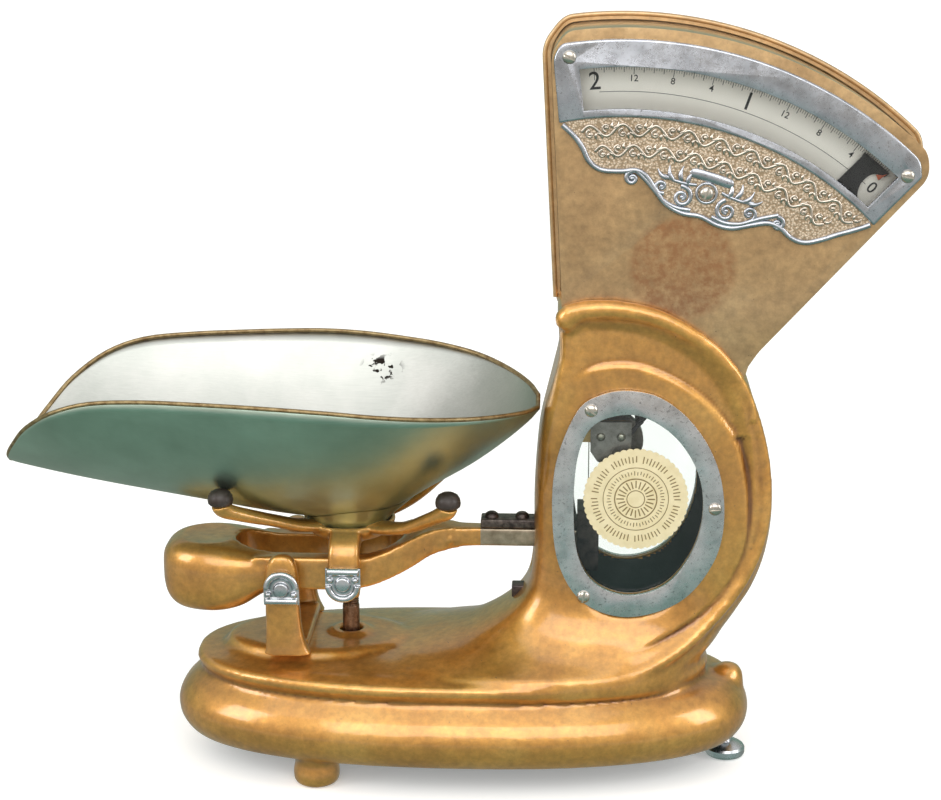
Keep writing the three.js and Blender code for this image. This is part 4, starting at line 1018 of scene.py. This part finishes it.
def seal_disc():
    """A disc with a ring of small points round its edge."""
    turns = np.arange(SEAL_POINTS * 8) / (SEAL_POINTS * 8)
    radii = 30.1 + 0.9 * np.abs(np.cos(turns * SEAL_POINTS * math.pi)) ** 0.7
    edge = seal_circle(radii, SEAL_POINTS * 8)
    return shade_smooth(slab("inspection_seal_fine", edge, -34.55, -34.15), 30)


def ring_at(radius, wide, y):
    """A thin flat ring of ink on the seal."""
    made = slab("ring", seal_circle(radius + wide / 2), y, y + INK_T)
    return cut(made, [slab("hole", seal_circle(radius - wide / 2), y - 1, y + 1)])


def seal_print():
    """Plain rings, dashes and a rosette: no lettering and no arms."""
    y = -34.66
    pieces = [ring_at(19.2, 0.45, y), ring_at(12.4, 0.7, y), ring_at(5.2, 0.5, y)]
    bands = ((72, 22.2, 26.4, 0.62), (54, 14.6, 17.2, 0.5), (24, 6.4, 11.4, 0.7))
    for count, r0, r1, wide in bands:
        for k in range(count):
            if count == 72 and k % 9 == 8:
                continue
            near, far = r0 + 0.5 * (k % 3 == 0), r1 - 0.6 * (k % 2)
            corners = [(near, -wide / 2), (far, -wide / 2), (far, wide / 2), (near, wide / 2)]
            pieces.append(slab("dash", swung(corners, SEAL, k / count * 2 * math.pi), y, y + INK_T))
    return join("seal_print", pieces)


def plate_rivets():
    dome = [(0.05, 27.9), (2.7, 27.9), (2.5, 28.7), (1.6, 29.3), (0.05, 29.5)]
    rivets = [knob("rivet", dome, x, z, 0, side, 24) for side in (-1, 1) for x, z in PLATE_SCREWS]
    return shade_smooth(join("plate_rivets", rivets))


# ---- Stand, caps and small steel
THREAD = 1.5  # from one ridge of a screw thread to the next


def fulcrum_stand():
    rows = [
        (77.2, -12.4, 16.8, 6.6), (79.4, -11.3, 15.4, 6.0), (86, -10.9, 12.6, 5.7), (96, -10.7, 10.9, 5.6),
        (110, -10.6, 9.9, 5.6), (124, -10.4, 9.6, 5.6), (131, -9.8, 8.8, 5.5), (136.4, -7.8, 7, 5.1),
        (139.4, -4.8, 4.2, 4), (140.3, -1.2, 0.8, 1.4),
    ]
    solids = []
    for side in (-1, 1):
        rings = []
        for z, left, right, deep in spline(rows, 4):
            ring = oval(FULCRUM_X + (left + right) / 2, (right - left) / 2, deep, z, 2.9, 56)
            rings.append([(x, y + side * (POST_IN + POST_OUT) / 2, h) for x, y, h in ring])
        solids.append(loft("post", rings))
    solids.append(box("bridge", FULCRUM_X - 10, FULCRUM_X + 14, -POST_IN - 1, POST_IN + 1, 78, 84))
    seat = rod("seat", "y", -POST_OUT + 2, POST_OUT - 2, FULCRUM_X, KNIFE_Z, 6.2, 32)
    return cast("fulcrum_stand_fine", solids, [seat], 0.8, 4)


def bearing_cap(name, x, z, side, up):
    """An arched cap: a thick rounded arch over a dished face, a round middle, two small screws and a sill."""
    y0 = POST_OUT + GAP
    turns = np.linspace(0, math.pi, 33)
    arch = [(x + 10.6 * math.cos(t), z + up * 10.6 * math.sin(t)) for t in turns]
    foot = [(x - 10.6, z - up * 10.4), (x + 10.6, z - up * 10.4)]
    rim = [(x + 8.7 * math.cos(t), z + up * (8.7 * math.sin(t) + 0.2)) for t in turns]
    sill = [(x - 9.4, z - up * 8), (x + 9.4, z - up * 8)]
    middle = [(0.1, 1), (4.6, 1), (4.5, 3.4), (3.9, 4.3), (0.1, 4.6)]
    dot = [(0.1, 1), (1.7, 1), (1.6, 4.4), (1.0, 5.0), (0.1, 5.2)]
    solids = [slab("body", arch + foot, *span(side, y0, y0 + 2.4))]
    solids.append(raised("rim", rim, 2.1, side * (y0 + 2.2), 16))
    solids.append(raised("sill", sill, 2.3, side * (y0 + 1.8), 16))
    solids.append(knob("middle", middle, x, z - up * 0.5, y0, side, 32))
    solids += [knob("dot", dot, x + hand * 7.6, z - up * 3.4, y0, side, 20) for hand in (-1, 1)]
    return cast(name, solids, [], 0.36, 8)


def threaded(name, rows, x, sides=32):
    """A turned bar from rows of (r, z, r, z); a row that ends in True is ridged like a screw thread."""
    profile = []
    for r0, z0, r1, z1, *thread in rows:
        profile.append((r0, z0))
        if thread:
            for k in range(int((z1 - z0) / THREAD)):
                profile += [(r0 - 0.55, z0 + (k + 0.5) * THREAD), (r0, z0 + (k + 1) * THREAD)]
        profile.append((r1, z1))
    return shade_smooth(turned(name, profile, x, 0, sides), 25)


def check_rod():
    rows = [(0.1, 40, 4.4, 40), (4.4, 52, 3.5, 53), (3.5, 76, 5.2, 76.3), (5.2, 95, 5.0, 95.4)]
    rows += [(5.0, 96, 5.0, 117, True), (3.9, 118, 5.4, 119), (5.4, 128, 4.2, 129), (4.2, 146, 0.1, 146)]
    return threaded("check_rod_fine", rows, LOAD_X)


def levelling_foot():
    rows = [(0.1, 0, 9.5, 0), (11.6, 0.8, 12.4, 2.2), (12.4, 5.2, 11.5, 6.6), (9, 8, 6, 8.8)]
    rows += [(4.2, 9.2, 4, 9.6), (4, 10, 4, 50, True), (4, 51, 0.1, 52)]
    return threaded("levelling_foot_fine", rows, LEVEL_X, 40)


# ---- Lever
def mirrored(half):
    return half + [(x, -y) for x, y in half[::-1] if y > 0]


# x, half width, lowest z, highest z
LEVER_BULB = [
    (-180.4, 4, 118, 127), (-179.4, 12, 110, 133), (-175.5, 20, 102.5, 137.6), (-168, 26.6, 98, 140.4),
    (-156, 31.4, 96.5, 141.6), (-143, 33, 97, 141), (-130, 32, 100.5, 139), (-118, 30, 108, 136.6),
    (-106, 28.4, 114.4, 135),
]
LEVER_TOP = [
    (-124, 135), (-100, 134.8), (-60, 134.6), (-50, 136), (-40, 139.6), (-29, 144.4), (-19, 147.8),
    (-8, 148.6), (5, NOSE_TOP),
]
LEVER_UNDER = [
    (46, NOSE_UNDER), (12, 136.6), (-6, 134.4), (-17, 132), (-27, 127), (-42, 120.6), (-54, 116.6),
    (-66, 114.8), (-90, 114.4), (-124, 114.4),
]
# Half of the lever's outline from above, and of the loop's opening: x, y
LEVER_OUTER = [
    (-122, 0), (-122, 29.5), (-112, ARM_OUT), (-50, ARM_OUT), (-42, 27.4), (-32, 24.2), (-22, 19), (-13, 13),
    (-5, 8.8), (4, 6.6), (14, 6), (NOSE_END, 6),
]
LEVER_INNER = [
    (-136, 0), (-134.6, 8), (-130, 13.4), (-123, 16.4), (-112, ARM_IN), (-50, ARM_IN), (-42, 15.4),
    (-36, 11.6), (-33, 6), (-32, 0),
]


def main_lever():
    rings = []
    for x, half, low, high in spline(LEVER_BULB, 5):
        ring = oval(0, half, (high - low) / 2, 0, 3.6, 72)
        rings.append([(x, a, b + (low + high) / 2) for a, b, _ in ring])
    end = [(NOSE_END + 1, NOSE_TOP), (NOSE_END + 1, NOSE_UNDER)]
    profile = slab("profile", [*spline(LEVER_TOP, 5), *end, *spline(LEVER_UNDER, 5)], -50, 50)
    plan = plate("plan", mirrored(LEVER_OUTER), 90, 170)
    solids = [loft("bulb", rings), combine(plan, [profile], "INTERSECT")]
    solids.append(rod("pin", "y", -9.8, 9.8, -4, 141, 1.9, 24))
    solids.append(rod("bridge", "y", -10, 10, -31, 134, 5, 24))
    dish = [(0.1, 139.6), (12, 139.8), (19, 140.4), (24, 141.6), (27, 150), (0.1, 150)]
    loop = plate("loop", mirrored([tuple(q) for q in spline(LEVER_INNER, 3)]), 80, 180)
    return cast("main_lever_fine", solids, [loop, turned("dish", dish, -153, 0, 64)], 1.15, 4)


def nose_screw(name, x):
    dome = [(0.05, -2), (4.2, -2), (4.3, 0.4), (3.8, 1.9), (2.4, 3.0), (0.05, 3.4)]
    profile = [(r, STRAP_Z + STRAP_T + h) for r, h in dome]
    return shade_smooth(turned(name, profile, x, 0, 32), 50)


# ---- Load spider
def arm_path(sx, sy):
    """From the hub out to one pad; the left and right arms rise in slightly different curves."""
    reach = sx * ARM_TIP_X + ARMS_SHIFT
    middle = {
        -1: [(0.42, 154.5), (0.62, 161), (0.8, 166.8), (0.93, 171.4)],
        1: [(0.42, 153), (0.6, 157.2), (0.78, 164.6), (0.92, 171)],
    }
    stations = [(0.2, 150.4), *middle[sx], (0.985, 174.5), (1.0, 177.5)]
    return spline([(LOAD_X + reach * share, sy * ARM_TIP_Y * share, z) for share, z in stations], 6)


def load_spider():
    hub = [(0, 141), (17, 141.5), (23, 144), (26.6, 147.5), (28, 151), (28.1, 153), (27.2, 153.8)]
    hub += [(26, 153.6), (25.2, 152), (24.2, 149.2), (0, 149)]
    solids = [turned("hub", hub, LOAD_X, 0, 64)]
    marks = [0, 0.35, 0.6, 0.86, 1]
    for sx, sy in ((-1, -1), (-1, 1), (1, -1), (1, 1)):
        path = arm_path(sx, sy)
        t = np.linspace(0, 1, len(path))
        radii = np.interp(t, marks, [9.5, 7.4, 5.8, 5.4, 6.4])
        solids.append(tube("arm", path, radii, 20, np.interp(t, marks, [0.42, 0.5, 0.75, 1, 1])))
    leg = [(14, 146.5), (26, 146.3), (33.5, 143.6), (36.6, 137), (36.6, 126), (36.6, 114.5)]
    for side in (-1, 1):
        path = spline([(LOAD_X, side * y, z) for y, z in leg], 6)
        solids.append(tube("leg", path, 9.4, 28, 0.62, power=4.5))
    above = box("above", -200, 100, -100, 100, ARM_TIP_Z, 220)
    seats = rod("seats", "y", -60, 60, LOAD_X, KNIFE_Z, 3, 24)
    socket = rod("socket", "z", 130, 147, LOAD_X, 0, 4.6, 24)
    return cast("load_spider_fine", solids, [above, seats, socket], 0.95, 4)


def arm_pad(name, sx, sy):
    dome = [(0.05, 0.3), (6.2, 0.3), (7.2, 1.2), (7.5, 3.2), (7.1, 5.6), (5.8, 7.8), (3.6, 9.1), (0.05, 9.6)]
    profile = [(r, ARM_TIP_Z + h) for r, h in dome]
    return shade_smooth(turned(name, profile, LOAD_X + sx * ARM_TIP_X + ARMS_SHIFT, sy * ARM_TIP_Y, 32))


# ---- Scoop
def scoop_grid(drop=0.0, across=56):
    share = np.linspace(-1, 1, across + 1)
    rows = spline(SCOOP_STATIONS, 4)
    height = lambda low, rim, s: low - drop + (rim - low) * abs(s) ** SCOOP_POWER
    return [[(x, half * s, height(low, rim, s)) for s in share] for x, low, rim, half in rows]


def scoop():
    """The bowl: a grid of points for its inside, and the same grid again below for its outside."""
    grid = np.array(scoop_grid())
    along, across = np.gradient(grid, axis=0), np.gradient(grid, axis=1)
    normal = np.cross(along, across)
    normal /= np.linalg.norm(normal, axis=2)[:, :, None]
    under = grid - normal * SHEET_T
    rows, cols = grid.shape[:2]
    points = np.vstack([grid.reshape(-1, 3), under.reshape(-1, 3)])
    at = lambda i, j, low=0: low * rows * cols + i * cols + j
    faces = []
    for i in range(rows - 1):
        for j in range(cols - 1):
            faces.append((at(i, j), at(i + 1, j), at(i + 1, j + 1), at(i, j + 1)))
            faces.append((at(i, j, 1), at(i, j + 1, 1), at(i + 1, j + 1, 1), at(i + 1, j, 1)))
        for j in (0, cols - 1):
            faces.append((at(i, j), at(i, j, 1), at(i + 1, j, 1), at(i + 1, j)))
    for j in range(cols - 1):
        for i in (0, rows - 1):
            faces.append((at(i, j), at(i, j + 1), at(i, j + 1, 1), at(i, j, 1)))
    return shade_smooth(face_outwards(new_object("scoop_fine", points, faces)))


def scoop_rim():
    """The sheet's edge, rolled over a wire all the way round."""
    grid = scoop_grid()
    front, rear = [row[0] for row in grid], [row[-1] for row in grid]
    path = front[::-1] + grid[0][1:-1] + rear + grid[-1][1:-1][::-1]
    made = tube("scoop_rim", path, 1.4, 12, cyclic=True, level=True)
    return shade_smooth(made)


def scoop_foot():
    outer = [(0, 149.3), (22.5, 149.3), (24.2, 151), (25.2, 153.8), (27.2, 156), (31, 159.6), (36, 164.2)]
    outer += [(41, 168.8), (44.4, 172), (44.2, 173.2)]
    inner = [(43.4, 173), (35, 165.4), (26, 157.6), (21, 154.2), (20.4, 151.2), (0, 151.2)]
    made = turned("scoop_foot_fine", outer + inner, LOAD_X, 0, 96)
    rings = []
    for row in scoop_grid(SHEET_T * 1.3 + 0.25, 24)[16:56]:
        x, half = row[0][0], row[-1][1]
        rings.append([*row, (x, half, 300.0), (x, -half, 300.0)])
    return shade_smooth(cut(made, [loft("underside", rings)]), 40)


# ---- Making everything
def make_stand():
    iron = put(base_casting(), GOLD, "stand", "gold_paint", "base_casting")
    # painted shade on the faces inside the column and under the base
    paint(iron, INSIDE_SHADE, is_inside)
    put(dial_housing(), GOLD_FAN, "stand", "gold_paint", "dial_housing")
    put(back_cover(), GOLD_COVER, "stand", "gold_paint", "dial_back_cover")
    put(dial_bezel(), BEZEL, "stand", "nickel_plate", "dial_bezel")
    put(bezel_ground(), PEBBLE, "stand", "nickel_plate")
    put(bezel_vines(), ORNAMENT, "stand", "nickel_plate")
    put(rear_bezel(), NICKEL, "stand", "nickel_plate", "rear_dial_bezel")
    for (where, (x, z)), turn, lift in zip(BEZEL_SCREWS.items(), (60, 75, -20), (3.8, 3.8, 3.3)):
        made = slotted_screw("bezel_screw_" + where, x, z, HEAD_HALF + lift, -1, turn)
        put(made, SCREW, "stand", "nickel_plate", "dial_bezel_screw_" + where)
    for name, side in SIDES.items():
        put(dial_marks("dial_marks_" + name, side), INK, "stand", "dial_card")
        ring = window_ring("window_ring_fine_" + name, side)
        put(ring, NICKEL, "stand", "nickel_plate", "window_ring_" + name)
        for (where, (x, z)), turn in zip(RING_SCREWS.items(), (50, 95, -10)):
            made = slotted_screw(f"ring_screw_fine_{name}_{where}", x, z, RING_FACE, side, turn)
            put(made, SCREW, "stand", "nickel_plate", f"ring_screw_{name}_{where}")
        cap = bearing_cap("fulcrum_cap_fine_" + name, FULCRUM_X, FULCRUM_CAP_Z, side, 1)
        put(cap, CHROME, "stand", "nickel_plate", "fulcrum_cap_" + name)
    put(seal_disc(), FOIL, "stand", "gold_foil", "inspection_seal")
    put(seal_print(), FOIL_INK, "stand", "gold_foil")
    put(plate_rivets(), RIVET, "stand", "steel")
    put(fulcrum_stand(), GOLD, "stand", "gold_paint", "fulcrum_stand")
    head = bevel(box("damper_screw_fine", 33.5, 42, -5, 5, DAMPER_Z - 3.6, DAMPER_Z + 4), 0.8)
    put(head, DARK, "stand", "dark_steel", "damper_screw")
    put(levelling_foot(), CHROME, "levelling_foot", "nickel_plate", "levelling_foot")


def make_movement():
    lever = put(main_lever(), GOLD, "lever", "gold_paint", "main_lever")
    paint(lever, BARE, lambda face: face.center.x > 0.0145)
    strap = box("nose_strap_fine", 14.5, NOSE_END, -7, 7, STRAP_Z, STRAP_Z + STRAP_T)
    put(bevel(strap, 0.9), RUSTY, "lever", "dark_steel", "nose_strap")
    for k, x in enumerate(NOSE_SCREWS):
        put(nose_screw(f"nose_screw_fine_{k + 1}", x), RUSTY, "lever", "steel", f"nose_screw_{k + 1}")
    put(load_spider(), GOLD, "spider", "gold_paint", "load_spider")
    for name, side in SIDES.items():
        cap = bearing_cap("load_cap_fine_" + name, LOAD_X, KNIFE_Z, side, -1)
        put(cap, CHROME, "spider", "nickel_plate", "load_cap_" + name)
        for hand, sx in (("left", -1), ("right", 1)):
            pad = arm_pad(f"arm_pad_fine_{name}_{hand}", sx, side)
            put(pad, PAD, "spider", "rubber", f"arm_pad_{name}_{hand}")
    put(check_rod(), ROD, "spider", "steel", "check_rod")
    bowl = put(scoop(), SCOOP, "scoop", "scoop_sheet", "scoop")
    half = len(bowl.data.vertices) // 2
    # painted reflection: the bowl's outside faces get the green-tinted sheet
    paint(bowl, SCOOP_OUTSIDE_REFLECTION, lambda face: max(face.vertices) >= half)
    put(scoop_rim(), RIM_BRASS, "scoop", "scoop_sheet")
    # the foot also carries the painted green reflection
    put(scoop_foot(), SCOOP_OUTSIDE_REFLECTION, "scoop", "scoop_sheet", "scoop_foot")
    put(pointer(), INK, "pendulum", "dark_steel", "pointer")
    put(pointer_tips(), TIP_RED, "pendulum", "dark_steel")


make_stand()
make_movement()


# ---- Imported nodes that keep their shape
FINISHES = {
    "gold_paint": GOLD,
    "nickel_plate": NICKEL,
    "steel": STEEL,
    "dark_steel": DARK,
    "brass": BRASS,
    "scoop_sheet": SCOOP,
    "dial_card": CARD,
    "gold_foil": FOIL,
    "rubber": PAD,
    "clear_glass": GLASS,
}
for entry in frame["record"]["subparts"]:
    mesh = frame["nodes"][entry["node"]].data
    mesh.materials.clear()
    mesh.materials.append(FINISHES[entry["material_slot"]])

# ---- Studio
def studio():
    """A pale floor and backdrop; polished metal mirrors the room round them, which is sage green low down."""
    paper, tree = material("pale_paper")
    shader = tree.nodes["Principled BSDF"]
    look = {"Base Color": (0.93, 0.93, 0.92), "Roughness": 0.9}
    look.update({"Emission Color": (1, 1, 1), "Emission Strength": 0.25})
    for key, value in look.items():
        feed(tree, shader.inputs[key], value)
    floor = [(-4000, -4000, 0), (4000, -4000, 0), (4000, 3000, 0), (-4000, 3000, 0)]
    wall = [(-5000, 2900, -10), (5000, 2900, -10), (5000, 2900, 3000), (-5000, 2900, 3000)]
    for name, corners in (("floor", floor), ("backdrop", wall)):
        piece = new_object(name, corners, [(0, 1, 2, 3)])
        piece.data.materials.append(paper)
        piece.visible_glossy = False


# What polished metal mirrors from low down to high up, behind the scale and in front of it
ROOM_BACK = [
    (0.0, (0.3, 0.37, 0.33)), (0.4, (0.44, 0.47, 0.42)), (0.52, (0.28, 0.43, 0.34)),
    (0.6, (0.28, 0.46, 0.35)), (0.68, (0.44, 0.54, 0.43)), (0.78, (0.72, 0.73, 0.66)),
    (0.9, (0.9, 0.89, 0.86)),
]
ROOM_FRONT = [
    (0.0, (0.22, 0.36, 0.29)), (0.29, (0.3, 0.46, 0.4)), (0.33, (0.36, 0.5, 0.48)),
    (0.375, (0.98, 0.95, 0.91)), (0.42, (0.58, 0.55, 0.5)), (0.5, (0.72, 0.67, 0.58)),
    (0.62, (0.88, 0.84, 0.78)), (0.8, (0.92, 0.91, 0.88)),
]


def room():
    world = bpy.data.worlds.new("studio")
    bpy.context.scene.world = world
    world.use_nodes = True
    tree = world.node_tree
    place = add(tree, "TexCoord", {}, "Generated")
    split = tree.nodes.new("ShaderNodeSeparateXYZ")
    tree.links.new(place, split.inputs["Vector"])
    height = add(tree, "MapRange", {"From Min": -1, "From Max": 1, "Value": split.outputs["Z"]}, "Result")
    turn = add(tree, "MapRange", {"From Min": -0.45, "From Max": 0.35, "Value": split.outputs["Y"]}, "Result")
    sky = blend(tree, turn, ramp(tree, height, ROOM_FRONT), ramp(tree, height, ROOM_BACK))
    feed(tree, tree.nodes["Background"].inputs["Color"], sky)
    feed(tree, tree.nodes["Background"].inputs["Strength"], 0.8)


def aimed(name, data, at, aim):
    """A lamp or camera at a place, pointed at another."""
    piece = placed(name, data)
    piece.location = at
    piece.rotation_euler = (Vector(aim) - Vector(at)).to_track_quat("-Z", "Y").to_euler()
    return piece


def area_light(name, at, aim, width, height, watts):
    data = bpy.data.lights.new(name, "AREA")
    data.shape = "RECTANGLE"
    data.size, data.size_y = width, height
    data.energy = watts
    aimed(name, data, at, aim)


def camera():
    data = bpy.data.cameras.new("camera")
    data.sensor_width = 36
    data.lens = 79.2
    bpy.context.scene.camera = aimed("camera", data, (0.063, -1.2, 0.55), (0.008, 0, 0.227))


studio()
room()
area_light("top", (-0.25, -0.7, 1.6), (0, 0, 0.2), 1.8, 1.1, 5)
area_light("front", (0.1, -2.0, 1.45), (0.02, 0, 0.25), 2.4, 1.4, 24)
area_light("left", (-1.5, -0.8, 0.9), (0, 0, 0.25), 0.6, 1.0, 9)
area_light("right", (1.5, -0.5, 0.8), (0.1, 0, 0.25), 0.5, 1.0, 7)
camera()
bpy.context.scene.view_settings.view_transform = "Standard"
